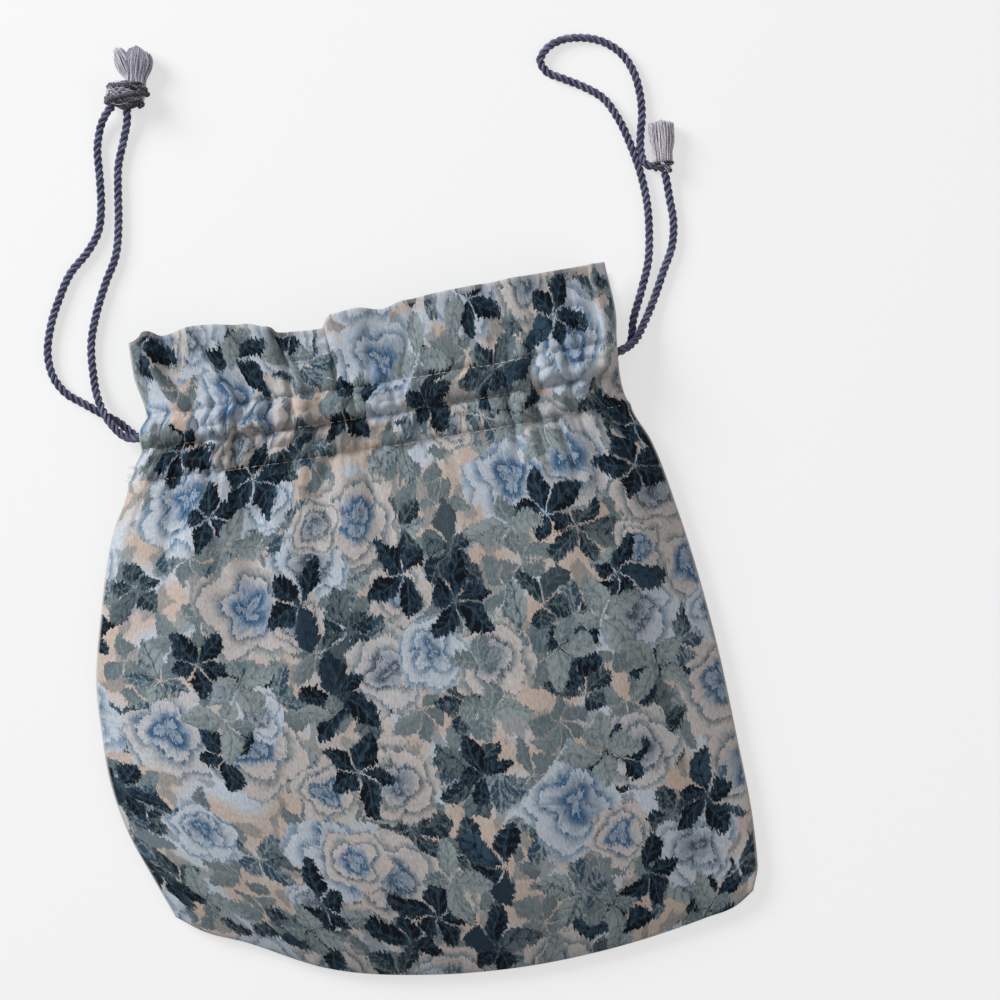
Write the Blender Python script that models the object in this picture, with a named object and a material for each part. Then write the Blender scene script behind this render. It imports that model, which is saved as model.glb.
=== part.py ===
"""Kinchaku drawstring pouch of printed cotton, lying on its back with its mouth half drawn in.

Two cloth panels are sewn together down the sides and along the bottom. The top of each panel is folded
in, and three rows of stitching divide the fold into a frill, a channel for the cords and a hem. Two cords
run through the channels of both panels. Each turns back at the far side and leaves on its own side, where
its ends are knotted under a tassel.

X runs across the pouch, +Y points to its mouth and +Z is its front. The unit is the metre.
"""

import math

import bmesh
import bpy
import numpy as np
from mathutils import Matrix, Vector

# Cloth and seams
CLOTH = 0.0009  # thickness of one layer of cotton twill
SEAM_GAP = 0.0003  # between the two panels where they are sewn together

# Widths, from the line between the pouch's middle and its mouth
BODY_HALF = 0.1225
HEADER_LEFT = 0.088
HEADER_RIGHT = 0.095

# Lengths down the panel, from the mouth to the bottom seam
FRILL = 0.029
CHANNEL = 0.012
HEM = 0.0125
BODY = 0.2065
BOTTOM_Y = -0.1325
HEADER_TILT = 0.02  # rise of the stitched rows for each metre to the right
HEADER_BOW = 0.0015  # rise of the stitched rows from the middle to either side
CORNER_RISE = 0.0375  # how far the bottom's left corner is rounded off
FRILL_DIP = 0.006  # how far the frill's edge dips where it is folded under
FRILL_STEP = 0.0012  # how far the back frill stops short of the front one

# Heights above the surface that the pouch lies on
BELLY = 0.025  # top of the body
THROAT = 0.006  # clear height between the two channels
VENT_EDGE = 0.0125  # front channel's middle at the side openings
FRILL_EDGE = 0.010  # front frill at its top corners
HEM_SEAM = 0.0055  # side seam at its top end
BODY_SEAM = 0.0040  # side and bottom seams along the body

# Gathers
FRONT_GATHER = 0.0032  # height of the tallest gather
BACK_GATHER = 0.0012
FOLD_HEIGHT = 0.0030  # height of the soft folds that run down into the body
FRILL_WAVE = 0.0030  # rise and fall of the frill's edge
FRILL_FOLD = 0.0040  # height of the frill's tallest fold
FRILL_FOLD_WIDTH = 0.0036  # half width of the widest
FOLD_STEEP = 0.7  # how much a leaning fold is narrowed on its steep side and widened on the other
FOLD_PUSH = 0.5  # how far it leans over, as a share of its height
FOLD_SIDES = 0.03  # share of the frill's width in which its folds die away at either side

# Cords
CORD = 0.0034
CORD_PLAY = 0.0003  # clearance between a cord and what it passes
GROUND_PLAY = 0.0001  # clearance below a cord that lies on the ground
TURN_INSET = 0.011  # from the end of a channel to where a cord turns back
TURN_POINTS = 5  # points round that turn
PORT_LEAD = 0.002  # how far the lining stops before the turn
CORD_STEP = 0.0095  # spacing of a cord's points
CHANNEL_STEP = 0.010  # the same where it runs straight through a channel
CHANNEL_FILL = 1.25  # how soon a channel opens beside its stitched rows, and how square it is
CHANNEL_POWER = 5

# Knots and tassels: half sizes across, along and up
KNOT_LEFT = (0.0076, 0.0060, 0.0050)
KNOT_RIGHT = (0.0033, 0.0030, 0.0030)
TUFT_LEFT_OUTER = (0.0034, 0.0066, 0.0031)
TUFT_LEFT_INNER = (0.0057, 0.0068, 0.0043)
TUFT_RIGHT = (0.0049, 0.0071, 0.0036)
TUFT_NECK = 0.5  # width of a tuft at its neck, as a share of its width at the brush end
TUFT_GAP = 0.0004  # between a tuft's neck and its knot
KNOT_RIDGE = 0.07  # height of the turns of cord on a knot, as a share of its radius
KNOT_TURNS = 3
KNOT_TURN = -8  # degrees that a knot is turned from +Y
KNOT_FACES = (8, 15)  # rings and sides
TUFT_FACES = (9, 12)

# Where the knots lie, and where each tuft leaves its knot: (place across the knot, degrees turned from +Y)
KNOT_LEFT_AT = (-0.0795, 0.2236)
KNOT_RIGHT_AT = (0.1236, 0.1680)
TUFT_LEFT_OUTER_AT = (0.0023, 16)
TUFT_LEFT_INNER_AT = (0.0047, -14)
TUFT_RIGHT_AT = (0.0001, -4)

# Stations down a panel: 0 mouth, 1 to 3 the stitched rows, 4 the bottom seam
FRILL_STATIONS = (0.0, 0.2, 0.42, 0.64, 0.84)
CHANNEL_STATIONS = (1.15, 1.5, 1.85)
HEM_STATIONS = (2.5,)
BODY_STATIONS = (3.012, 3.07, 3.15, 3.24, 3.35, 3.48, 3.62, 3.76, 3.88, 3.955)

# How far each side has spread at a station, from the header's width at 0 to the body's at 1
LEFT_FLARE = ((0, 0.08), (0.4, 0.07), (1, -0.02), (1.5, 0.08), (2, 0.09), (2.5, 0.2), (3, 0.31),
              (3.11, 0.56), (3.28, 0.81), (3.5, 1.0), (3.6, 1.0), (3.8, 0.85), (3.9, 0.66), (4, 0.46))
RIGHT_FLARE = ((0, 0.0), (0.7, 0.05), (1, 0.01), (2, -0.01), (2.5, 0.01), (3, 0.09), (3.08, 0.31),
               (3.22, 0.54), (3.48, 0.82), (3.7, 0.94), (3.86, 1.0), (3.95, 0.98), (4, 0.87))

# Bottom seam across the pouch, from the left corner at 0: (place, share of CORNER_RISE)
BOTTOM_RISE = ((0, 1.0), (0.04, 0.83), (0.112, 0.65), (0.245, 0.27), (0.406, 0.064), (0.57, 0.0),
               (0.74, 0.061), (0.91, 0.24), (0.97, 0.33), (1, 0.45))

# Front frill's edge across the pouch: (place, rise above the frill's length as a share of FRILL_DIP,
# height as a share of FRILL_WAVE)
FRILL_SHAPE = ((0, -0.07, 0.0), (0.045, 0.4, 0.9), (0.073, 0.07, -0.5), (0.137, 0.4, 0.5),
               (0.242, 0.08, 0.9), (0.29, -0.33, 0.7), (0.32, -0.83, -0.8), (0.395, -0.98, -1.0),
               (0.425, -0.13, 0.6), (0.48, 0.02, 0.9), (0.53, -0.27, 0.2), (0.575, 0.02, -0.2),
               (0.69, 0.18, 0.2), (0.81, 0.22, 0.5), (0.93, 0.22, 0.2), (1, 0.25, -0.3))

# Folds that run down the front frill: (its line as (station, place) pairs, share of FRILL_FOLD_WIDTH,
# share of FRILL_FOLD, lean). A fold that leans right is steep on that side, 1 at the most, and one that
# leans left is below 0. A share of FRILL_FOLD below 0 is a hollow.
FRILL_FOLDS = (
    # the ear turned back at the left end, and the hollow beside it
    (((0, 0.03), (0.35, 0.04), (0.75, 0.065), (1, 0.1)), 0.85, 0.8, 0.8),
    (((0, 0.062), (0.4, 0.07), (0.8, 0.095), (1, 0.12)), 0.65, -0.5, 0),
    # the slanting fold above the deepest gather
    (((0, 0.10), (0.45, 0.132), (0.8, 0.165), (1, 0.18)), 0.6, -0.4, 0),
    (((0, 0.125), (0.45, 0.154), (0.8, 0.187), (1, 0.2)), 0.8, 0.6, -0.7),
    # the lobe that hangs over a recess
    (((0, 0.3), (0.3, 0.315), (0.65, 0.338), (1, 0.343)), 1.0, 0.95, 0.9),
    (((0, 0.326), (0.4, 0.346), (0.8, 0.36), (1, 0.36)), 0.8, -0.65, 0),
    # the near edge of the lobe beyond it
    (((0, 0.398), (0.5, 0.401), (1, 0.407)), 0.8, 0.65, -0.85),
    (((0, 0.6), (0.45, 0.582), (0.8, 0.56), (1, 0.552)), 0.8, -0.4, 0),
)

# Gathers across the front, as (place, share of FRONT_GATHER): crests and the valleys between them
FRONT_GATHERS = ((0, 0.3), (0.022, 0.8), (0.05, 0.15), (0.077, 0.8), (0.11, 0.0), (0.155, 1.0), (0.2, 0.05),
                 (0.233, 0.8), (0.265, 0.1), (0.291, 0.7), (0.313, 0.1), (0.345, 0.9), (0.38, 0.05),
                 (0.418, 0.8), (0.48, 0.1), (0.546, 0.5), (0.6, 0.1), (0.765, 0.0), (0.79, 0.8),
                 (0.82, 0.05), (0.862, 1.0), (0.9, 0.1), (0.933, 0.8), (0.955, 0.2), (0.975, 0.6), (1, 0.2))
BACK_GATHERS = ((0, 0.0), (0.06, 0.9), (0.13, 0.0), (0.2, 1.0), (0.27, 0.0), (0.34, 0.7), (0.42, 0.0),
                (0.56, 0.4), (0.68, 0.0), (0.77, 0.9), (0.83, 0.0), (0.9, 1.0), (0.96, 0.1), (1, 0.0))

# How strong the gathers are at a station: 1 is their full height
FRONT_PINCH = ((0, 0), (0.6, 0.3), (1, 0.5), (1.2, 1), (1.8, 1), (2, 0.45), (2.5, 0.8), (3, 0.5),
               (3.15, 0.4), (3.35, 0))
BACK_PINCH = ((0, 0.4), (1, 1), (2, 1), (3, 0.6), (3.15, 0))

# Soft folds below the gathers: (place at the hem, drift by their lower end, half width, share of FOLD_HEIGHT,
# share of the body that they run down)
SOFT_FOLDS = ((0.045, -0.01, 0.03, 0.5, 0.3), (0.17, -0.02, 0.06, 1.0, 0.36), (0.30, 0.03, 0.035, 0.8, 0.5),
              (0.43, 0.02, 0.05, 0.5, 0.4), (0.62, 0.0, 0.07, 0.4, 0.3), (0.80, 0.03, 0.035, 0.8, 0.34),
              (0.90, 0.04, 0.03, 0.7, 0.3))

# Body's height down its middle, as (station, share of BELLY)
BELLY_LINE = ((3, 0.64), (3.08, 0.75), (3.25, 0.91), (3.5, 1.0), (3.75, 0.98), (4, 0.94))

# Free routes of the cords, laid by hand from the channel's end to the knot: (x, y, lift off the ground)
LEFT_FRONT_ROUTE = ((-0.0965, 0.0915, 0.0080), (-0.1030, 0.0985, 0.0046), (-0.1066, 0.1080, 0.0018),
                    (-0.1074, 0.1187, 0), (-0.1065, 0.1304, 0), (-0.1031, 0.1410, 0),
                    (-0.0975, 0.1532, 0), (-0.0927, 0.1620, 0), (-0.0895, 0.1758, 0),
                    (-0.0882, 0.1864, 0), (-0.0866, 0.1971, 0), (-0.0830, 0.2072, 0.0004),
                    (-0.0806, 0.2140, 0.0018), (-0.0801, 0.2171, 0.0026))
LEFT_BACK_ROUTE = ((-0.0945, 0.0925, 0.0008), (-0.0999, 0.0980, 0), (-0.1068, 0.1029, 0),
                   (-0.1125, 0.1072, 0), (-0.1192, 0.1125, 0), (-0.1229, 0.1189, 0),
                   (-0.1240, 0.1266, 0), (-0.1212, 0.1391, 0), (-0.1165, 0.1491, 0),
                   (-0.1109, 0.1582, 0), (-0.1030, 0.1657, 0), (-0.0981, 0.1724, 0),
                   (-0.0953, 0.1832, 0), (-0.0945, 0.1925, 0), (-0.0930, 0.2083, 0.0002),
                   (-0.0902, 0.2150, 0.0014), (-0.0866, 0.2192, 0.0026))
RIGHT_FRONT_ROUTE = ((0.1020, 0.1010, 0.0067), (0.1078, 0.1085, 0.0018), (0.1129, 0.1173, 0),
                     (0.1179, 0.1273, 0), (0.1228, 0.1372, 0), (0.1245, 0.1464, 0),
                     (0.1242, 0.1552, 0.0002), (0.1240, 0.1610, 0.0008), (0.1238, 0.1636, 0.0011))
RIGHT_BACK_ROUTE = ((0.1000, 0.1000, 0.0013), (0.1040, 0.1110, 0), (0.1089, 0.1222, 0),
                    (0.1127, 0.1323, 0), (0.1145, 0.1427, 0), (0.1153, 0.1540, 0),
                    (0.1144, 0.1663, 0), (0.1122, 0.1772, 0), (0.1085, 0.1892, 0),
                    (0.1040, 0.1973, 0), (0.0965, 0.2031, 0), (0.0892, 0.2072, 0),
                    (0.0834, 0.2108, 0), (0.0817, 0.2150, 0), (0.0850, 0.2196, 0),
                    (0.0912, 0.2220, 0), (0.0982, 0.2219, 0), (0.1071, 0.2190, 0),
                    (0.1132, 0.2138, 0), (0.1169, 0.2066, 0), (0.1184, 0.1971, 0),
                    (0.1180, 0.1885, 0), (0.1164, 0.1810, 0), (0.1157, 0.1740, 0.0002),
                    (0.1166, 0.1698, 0.0008), (0.1190, 0.1684, 0.0011))


def spline(table, at, steady=False):
    """The value at a place on a smooth curve through (place, value) pairs.

    A steady curve stays between its points."""
    places, values = np.array(table, float).T
    slopes = np.gradient(values, places)
    if steady:
        rises = np.abs(np.diff(values) / np.diff(places))
        most = 2 * np.minimum(np.append(rises, rises[-1]), np.insert(rises, 0, rises[0]))
        slopes = np.clip(slopes, -most, most)
    i = int(np.clip(np.searchsorted(places, at) - 1, 0, len(places) - 2))
    width = places[i + 1] - places[i]
    t = (at - places[i]) / width
    rise = values[i + 1] - values[i]
    ease = t * t * (3 - 2 * t)
    return values[i] + rise * ease + width * t * (1 - t) * ((1 - t) * slopes[i] - t * slopes[i + 1])


def waves(table, at):
    """The value at a place on a row of crests and valleys, level at each."""
    places, values = np.array(table, float).T
    i = int(np.clip(np.searchsorted(places, at) - 1, 0, len(places) - 2))
    t = (at - places[i]) / (places[i + 1] - places[i])
    return values[i] + (values[i + 1] - values[i]) * (1 - math.cos(math.pi * t)) / 2


def straight(table, at):
    """The value at a place on straight lines through (place, value) pairs."""
    places, values = zip(*table)
    return np.interp(at, places, values)


def mix(a, b, t):
    return a + (b - a) * t


def ease(start, end, at):
    t = min(max((at - start) / (end - start), 0), 1)
    return t * t * (3 - 2 * t)


def row_y(x, station):
    """Height on the page of the stitched rows, and of the lines between them, at x."""
    down = CHANNEL * (station - 1) if station < 2 else CHANNEL + HEM * (station - 2)
    hem_y = BOTTOM_Y + BODY
    return hem_y + CHANNEL + HEM - down + HEADER_TILT * x + HEADER_BOW * (x / HEADER_LEFT) ** 2


def plan(u, station, is_front=True):
    """Place of a panel's point, u from its left side to its right side, in the view from above."""
    left = -mix(HEADER_LEFT, BODY_HALF, spline(LEFT_FLARE, station, steady=True))
    right = mix(HEADER_RIGHT, BODY_HALF, spline(RIGHT_FLARE, station, steady=True))
    x = mix(left, right, u)
    if station < 1:
        rise = FRILL_DIP * waves([(at, rise) for at, rise, _ in FRILL_SHAPE], u)
        length = FRILL + (rise if is_front else min(rise, 0) - FRILL_STEP)
        push = frill_fold(u, station)[1] if is_front else 0
        return x + push, row_y(x, 1) + length * (1 - station)
    if station <= 3:
        return x, row_y(x, station)
    return x, mix(row_y(x, 3), BOTTOM_Y + CORNER_RISE * spline(BOTTOM_RISE, u), station - 3)


def frill_fold(u, station):
    """(height, push to the right) that the front frill's folds give to a point. They end at the first row."""
    height = push = 0.0
    for line, width, share, lean in FRILL_FOLDS:
        off = (u - spline(line, station)) * (HEADER_LEFT + HEADER_RIGHT) / (width * FRILL_FOLD_WIDTH)
        slack = -FOLD_STEEP if off * lean > 0 else FOLD_STEEP
        bump = share * FRILL_FOLD * math.exp(-(off / (1 + slack * abs(lean))) ** 2)
        bump *= (1 - ease(0.7, 1, station)) * ease(0, FOLD_SIDES, min(u, 1 - u))
        height += bump
        push += abs(bump) * lean * FOLD_PUSH
    return height, push


def tunnel(station):
    """Share of the channel's full height, which falls to nothing at its two stitched rows."""
    if not 1 < station < 2:
        return 0.0
    return min(1.0, CHANNEL_FILL * (1 - abs(2 * (station - 1.5)) ** CHANNEL_POWER))


def edge_rise(u, station):
    """1 over the middle of the pouch and 0 at its side and bottom edges."""
    power = mix(8, 4, ease(3, 3.25, station))
    below = max(station - 3, 0) ** 7
    return (1 - abs(2 * u - 1) ** power) * (1 - below)


BACK_CORD_Z = CLOTH + BACK_GATHER + CORD_PLAY + CORD / 2
BACK_ROOF = BACK_CORD_Z + CORD / 2 + CORD_PLAY  # ceiling of the back channel
FRONT_CORD_Z = BACK_ROOF + CLOTH + THROAT + CLOTH + CORD_PLAY + CORD / 2
TUNNEL_HALF = CORD / 2 + CORD_PLAY
CORD_REST = CORD / 2 + GROUND_PLAY  # height of a cord's middle where it lies on the ground


def seam_z(station):
    return mix(HEM_SEAM, BODY_SEAM, ease(3, 3.3, station))


def layers(station):
    """Thickness of the cloth: two layers where the top is folded in, and one below the hem."""
    return CLOTH if station > 3 else 2 * CLOTH


def front_middle(u, station):
    """Height of the front header's middle layer, above the hem's row."""
    corners = mix(FRILL_EDGE, VENT_EDGE, ease(0, 1, station))
    sewn = HEM_SEAM + SEAM_GAP / 2 + CLOTH
    edge = mix(corners, sewn, ease(1.5, 3, station))
    wave = waves([(at, lift) for at, _, lift in FRILL_SHAPE], u) * FRILL_WAVE * (1 - ease(0, 1, station))
    return mix(edge, FRONT_CORD_Z, edge_rise(u, station)) + wave + frill_fold(u, station)[0]


def gather(u, station):
    """Height of the front's gathers, which are pinched at the stitched rows and die away below them."""
    return FRONT_GATHER * straight(FRONT_PINCH, station) * waves(FRONT_GATHERS, u)


def soft_fold(u, station):
    """Height of the folds that run down from the hem into the body."""
    total = 0.0
    for place, drift, half_width, share, run in SOFT_FOLDS:
        t = (station - 3) / run
        if not -0.1 < t < 1:
            continue
        off = (u - place - drift * t) / (half_width * (1 + t))
        if abs(off) < 1:
            total += share * math.cos(off * math.pi / 2) ** 2 * math.sin(math.pi * (t + 0.1) / 1.1)
    return FOLD_HEIGHT * total


def front_heights(u, station):
    """(outside, channel ceiling, channel floor, inside) of the front panel, from its top face down."""
    if station <= 3:
        middle = front_middle(u, station)
        row_gather = gather(u, 1 if station < 1.5 else 2)
        full = tunnel(station)
        if 1 < station < 2:
            ceiling = middle + mix(row_gather, gather(u, station), full) + TUNNEL_HALF * full
            floor = middle + row_gather * (1 - full) - TUNNEL_HALF * full
            return ceiling + CLOTH, ceiling, floor, floor - CLOTH
        crease = middle + gather(u, station)
        return crease + CLOTH, crease, crease, crease - CLOTH
    low = seam_z(station) + SEAM_GAP / 2 + mix(2 * CLOTH, CLOTH, ease(3, 3.1, station))
    top = mix(low, BELLY * spline(BELLY_LINE, station), edge_rise(u, station))
    top += gather(u, station) + soft_fold(u, station) * edge_rise(u, station)
    return top, top - CLOTH, top - CLOTH, top - CLOTH


def back_heights(u, station):
    """(outside, channel floor, channel ceiling, inside) of the back panel, from its underside up."""
    full = tunnel(station)
    edge = 1 - (1 - ease(0.7, 1, abs(2 * u - 1)) ** 2) * (1 - ease(3.8, 4, station) ** 2)
    low = seam_z(station) - SEAM_GAP / 2 - mix(2 * CLOTH, CLOTH, ease(3, 3.1, station))
    gathered = BACK_GATHER * straight(BACK_PINCH, station) * waves(BACK_GATHERS, u)
    under = low * edge * ease(2, 3, station) + gathered
    if 1 < station < 2:
        ceiling = mix(under + CLOTH, BACK_ROOF, full)
        return under, under + CLOTH, ceiling, ceiling + CLOTH
    return under, under + CLOTH, under + CLOTH, under + layers(station)


def columns(gathers, between):
    """Places across a panel: every crest and valley, with points between them."""
    places = [at for at, _ in gathers]
    found = []
    for a, b in zip(places, places[1:]):
        found += [mix(a, b, k / between) for k in range(between)]
    return found + [places[-1]]


def panel_mesh(name, heights, across, is_front):
    """One cloth panel, folded in at the mouth, with an open channel from side to side."""
    stations = list(FRILL_STATIONS) + [1] + list(CHANNEL_STATIONS) + [2] + list(HEM_STATIONS) + [3]
    stations += list(BODY_STATIONS) + [4]
    bm = bmesh.new()
    outside, inside, ceiling, floor = [], [], [], []
    for u in across:
        rows = ([], [], [], [])
        for station in stations:
            x, y = plan(u, station, is_front)
            out_z, upper_z, lower_z, in_z = heights(u, station)
            rows[0].append(bm.verts.new((x, y, out_z)))
            rows[1].append(bm.verts.new((x, y, in_z)))
            if 1 <= station <= 2:
                rows[2].append(bm.verts.new((x, y, upper_z)))
                rows[3].append(rows[2][-1] if station in (1, 2) else bm.verts.new((x, y, lower_z)))
        for kept, row in zip((outside, inside, ceiling, floor), rows):
            kept.append(row)

    def skin(grid):
        for a, b in zip(grid, grid[1:]):
            for j in range(len(a) - 1):
                bm.faces.new((a[j], a[j + 1], b[j + 1], b[j]))

    def rim(a, b):
        for j in range(len(a) - 1):
            bm.faces.new((a[j], b[j], b[j + 1], a[j + 1]))

    for grid in (outside, inside, ceiling, floor):
        skin(grid)
    for j in (0, -1):
        rim([column[j] for column in outside], [column[j] for column in inside])
    first, last = stations.index(1), stations.index(2)
    for i in (0, -1):
        out, inn, top, low = outside[i], inside[i], ceiling[i], floor[i]
        rim(out[:first], inn[:first])
        rim(out[last + 1:], inn[last + 1:])
        rim(out[first:last + 1], top)
        rim(inn[first:last + 1], low)
        bm.faces.new((out[first - 1], out[first], top[0], inn[first], inn[first - 1]))
        bm.faces.new((out[last + 1], out[last], top[-1], inn[last], inn[last + 1]))
    bmesh.ops.recalc_face_normals(bm, faces=bm.faces)
    mesh = bpy.data.meshes.new(name)
    bm.to_mesh(mesh)
    bm.free()
    mesh.shade_smooth()
    mesh.set_sharp_from_angle(angle=math.radians(60))
    return mesh


def material(name, colour, roughness):
    made = bpy.data.materials.new(name)
    made.use_nodes = True
    shader = made.node_tree.nodes["Principled BSDF"]
    shader.inputs["Base Color"].default_value = (*colour, 1)
    shader.inputs["Roughness"].default_value = roughness
    return made


def add(name, data, collection, look):
    made = bpy.data.objects.new(name, data)
    data.materials.append(look)
    collection.objects.link(made)
    return made


def turn_place(side):
    """u where a cord turns back at the left (-1) or right (1) end of the channels."""
    inset = TURN_INSET / (HEADER_LEFT + HEADER_RIGHT)
    return inset if side < 0 else 1 - inset


def channel_point(u, offset, is_front):
    x, y = plan(u, 1.5)
    return Vector((x, y + offset, front_middle(u, 1.5) if is_front else BACK_CORD_Z))


def cord_line(side):
    """Route of the cord that leaves at the left (-1) or right (1), from knot to knot."""
    front, back = (LEFT_FRONT_ROUTE, LEFT_BACK_ROUTE) if side < 0 else (RIGHT_FRONT_ROUTE, RIGHT_BACK_ROUTE)
    offset = side * (CORD + CORD_PLAY) / 2
    mouth, turn = (0.0, turn_place(1)) if side < 0 else (1.0, turn_place(-1))
    runs = max(2, round((HEADER_LEFT + HEADER_RIGHT) / CHANNEL_STEP))
    over = [channel_point(mix(mouth, turn, k / runs), offset, True) for k in range(runs + 1)]
    under = [channel_point(mix(turn, mouth, k / runs), offset, False) for k in range(runs + 1)]
    middle = (over[-1] + under[0]) / 2
    radius = (over[-1].z - under[0].z) / 2
    angles = [math.pi * (0.5 - k / (TURN_POINTS + 1)) for k in range(1, TURN_POINTS + 1)]
    bend = [middle + Vector((-side * math.cos(a), 0, math.sin(a))) * radius for a in angles]
    arriving, leaving = ([Vector((x, y, CORD_REST + lift)) for x, y, lift in route]
                         for route in (front[::-1], back))
    first, last = smooth_line(arriving + over[:1]), smooth_line(under[-1:] + leaving)
    return first + over[1:] + bend + under[:-1] + last


def smooth_line(route):
    """Points at even steps along a smooth curve through a route's own points."""
    points = np.array([tuple(p) for p in route])
    chord = np.concatenate([[0], np.cumsum(np.linalg.norm(np.diff(points, axis=0), axis=1))])
    count = max(2, round(chord[-1] / CORD_STEP))
    tables = [list(zip(chord, points[:, axis])) for axis in range(3)]
    line = [Vector([spline(table, s) for table in tables]) for s in np.linspace(0, chord[-1], count + 1)]
    return [Vector((p.x, p.y, max(p.z, CORD_REST))) for p in line]


def cord_curve(name, points):
    """Plain tube of the cord's diameter along its route."""
    data = bpy.data.curves.new(name, "CURVE")
    data.dimensions = "3D"
    data.bevel_depth = CORD / 2
    data.bevel_resolution = 2
    data.use_fill_caps = True
    line = data.splines.new("POLY")
    line.points.add(len(points) - 1)
    for point, place in zip(line.points, points):
        point.co = (*place, 1)
    return data


def ball(name, half, place, turn, shape, faces):
    """Solid shaped from a ball whose poles lie along Y, resting on the ground and turned about Z."""
    rings, sides = faces
    bm = bmesh.new()
    bmesh.ops.create_uvsphere(bm, u_segments=sides, v_segments=rings, radius=1)
    bm.transform(Matrix.Rotation(-math.pi / 2, 4, "X"))
    for vert in bm.verts:
        widen = shape(vert.co.y, math.atan2(vert.co.z, vert.co.x))
        vert.co = Vector((vert.co.x * widen * half[0], vert.co.y * half[1], vert.co.z * widen * half[2]))
    lowest = min(vert.co.z for vert in bm.verts)
    bm.transform(Matrix.Translation((*place, -lowest)) @ Matrix.Rotation(math.radians(turn), 4, "Z"))
    mesh = bpy.data.meshes.new(name)
    bm.to_mesh(mesh)
    bm.free()
    mesh.shade_smooth()
    return mesh


def knot_mesh(name, half, place):
    """Tied cord: an egg with the ridges of slanting turns."""
    def shape(along, a):
        return 1 - KNOT_RIDGE * (1 + math.cos(KNOT_TURNS * a + 4 * along))
    return ball(name, half, place, KNOT_TURN, shape, KNOT_FACES)


def tuft_mesh(name, half, on_knot, knot_half, knot_at):
    """Brush of frayed cord: narrow at its neck, which leaves the knot, and full and blunt at its end."""
    def shape(along, _):
        full = mix(TUFT_NECK, 1, ease(-1, 0.4, along))
        return full / max(math.sqrt(1 - min(along * along, 1)), 0.35)
    across, turn = on_knot
    seat = knot_half[1] * math.sqrt(1 - (across / knot_half[0]) ** 2) + TUFT_GAP
    x = knot_at[0] + across - half[1] * math.sin(math.radians(turn))
    y = knot_at[1] + seat + half[1] * math.cos(math.radians(turn))
    return ball(name, half, (x, y), turn, shape, TUFT_FACES)


def combine(piece, helper, operation):
    helper.hide_render = True
    helper.display_type = "WIRE"
    cut = piece.modifiers.new(helper.name, "BOOLEAN")
    cut.operation = operation
    cut.solver = "EXACT"
    cut.object = helper


def cut_port(panel, side, cutters, is_front):
    """Opens the panel's lining at one end of its channel, where a cord crosses to the other panel."""
    start = plan(turn_place(side), 1.5)[0] - side * (PORT_LEAD + CORD / 2)
    end = plan(0.0 if side < 0 else 1.0, 1.5)[0] + side * CHANNEL
    middle_x = (start + end) / 2
    cord_z = FRONT_CORD_Z if is_front else BACK_CORD_Z
    depth = TUNNEL_HALF + CLOTH + FRONT_CORD_Z - VENT_EDGE
    width = 2 * (CORD + CORD_PLAY) + CORD_PLAY
    bpy.ops.mesh.primitive_cube_add(size=1)
    cutter = bpy.context.active_object
    cutter.name = f"{panel.name}_port_{'left' if side < 0 else 'right'}"
    cutter.dimensions = (abs(end - start), width, depth)
    drop = -depth / 2 if is_front else depth / 2
    base = min(cord_z, VENT_EDGE) if is_front else cord_z
    cutter.location = (middle_x, plan(turn_place(side), 1.5)[1], base + drop)
    for owner in list(cutter.users_collection):
        owner.objects.unlink(cutter)
    cutters.objects.link(cutter)
    combine(panel, cutter, "DIFFERENCE")


def main():
    for old in list(bpy.data.objects):
        bpy.data.objects.remove(old)
    pouch = bpy.data.collections.new("kinchaku_pouch")
    cutters = bpy.data.collections.new("cutters")
    for made in (pouch, cutters):
        bpy.context.scene.collection.children.link(made)

    print_cotton = material("print_cotton", (0.42, 0.46, 0.48), 0.85)
    cord_yarn = material("cord_yarn", (0.08, 0.085, 0.17), 0.6)
    tassel_yarn = material("tassel_yarn", (0.27, 0.26, 0.32), 0.8)
    binding_yarn = material("binding_yarn", (0.09, 0.08, 0.11), 0.75)

    front = panel_mesh("front_panel", front_heights, columns(FRONT_GATHERS, 2), True)
    back = panel_mesh("back_panel", back_heights, columns(BACK_GATHERS, 2), False)
    for name, mesh, is_front in (("front_panel", front, True), ("back_panel", back, False)):
        panel = add(name, mesh, pouch, print_cotton)
        for side in (-1, 1):
            cut_port(panel, side, cutters, is_front)

    add("cord_left", cord_curve("cord_left", cord_line(-1)), pouch, cord_yarn)
    add("cord_right", cord_curve("cord_right", cord_line(1)), pouch, cord_yarn)

    add("knot_left", knot_mesh("knot_left", KNOT_LEFT, KNOT_LEFT_AT), pouch, binding_yarn)
    add("knot_right", knot_mesh("knot_right", KNOT_RIGHT, KNOT_RIGHT_AT), pouch, binding_yarn)
    inner = tuft_mesh("tassel_left", TUFT_LEFT_INNER, TUFT_LEFT_INNER_AT, KNOT_LEFT, KNOT_LEFT_AT)
    outer = tuft_mesh("tuft_outer", TUFT_LEFT_OUTER, TUFT_LEFT_OUTER_AT, KNOT_LEFT, KNOT_LEFT_AT)
    tassel = add("tassel_left", inner, pouch, tassel_yarn)
    combine(tassel, add("tuft_outer", outer, cutters, tassel_yarn), "UNION")
    right = tuft_mesh("tassel_right", TUFT_RIGHT, TUFT_RIGHT_AT, KNOT_RIGHT, KNOT_RIGHT_AT)
    add("tassel_right", right, pouch, tassel_yarn)


if __name__ == "__main__":
    main()
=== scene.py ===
"""Looks of a kinchaku drawstring pouch: printed cotton panels, twisted cords, knots and tassels.

X runs across the pouch, +Y points to its mouth and +Z is its front, in metres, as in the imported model.
"""

import math

import bpy
import numpy as np
from mathutils import Matrix, Vector


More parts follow.
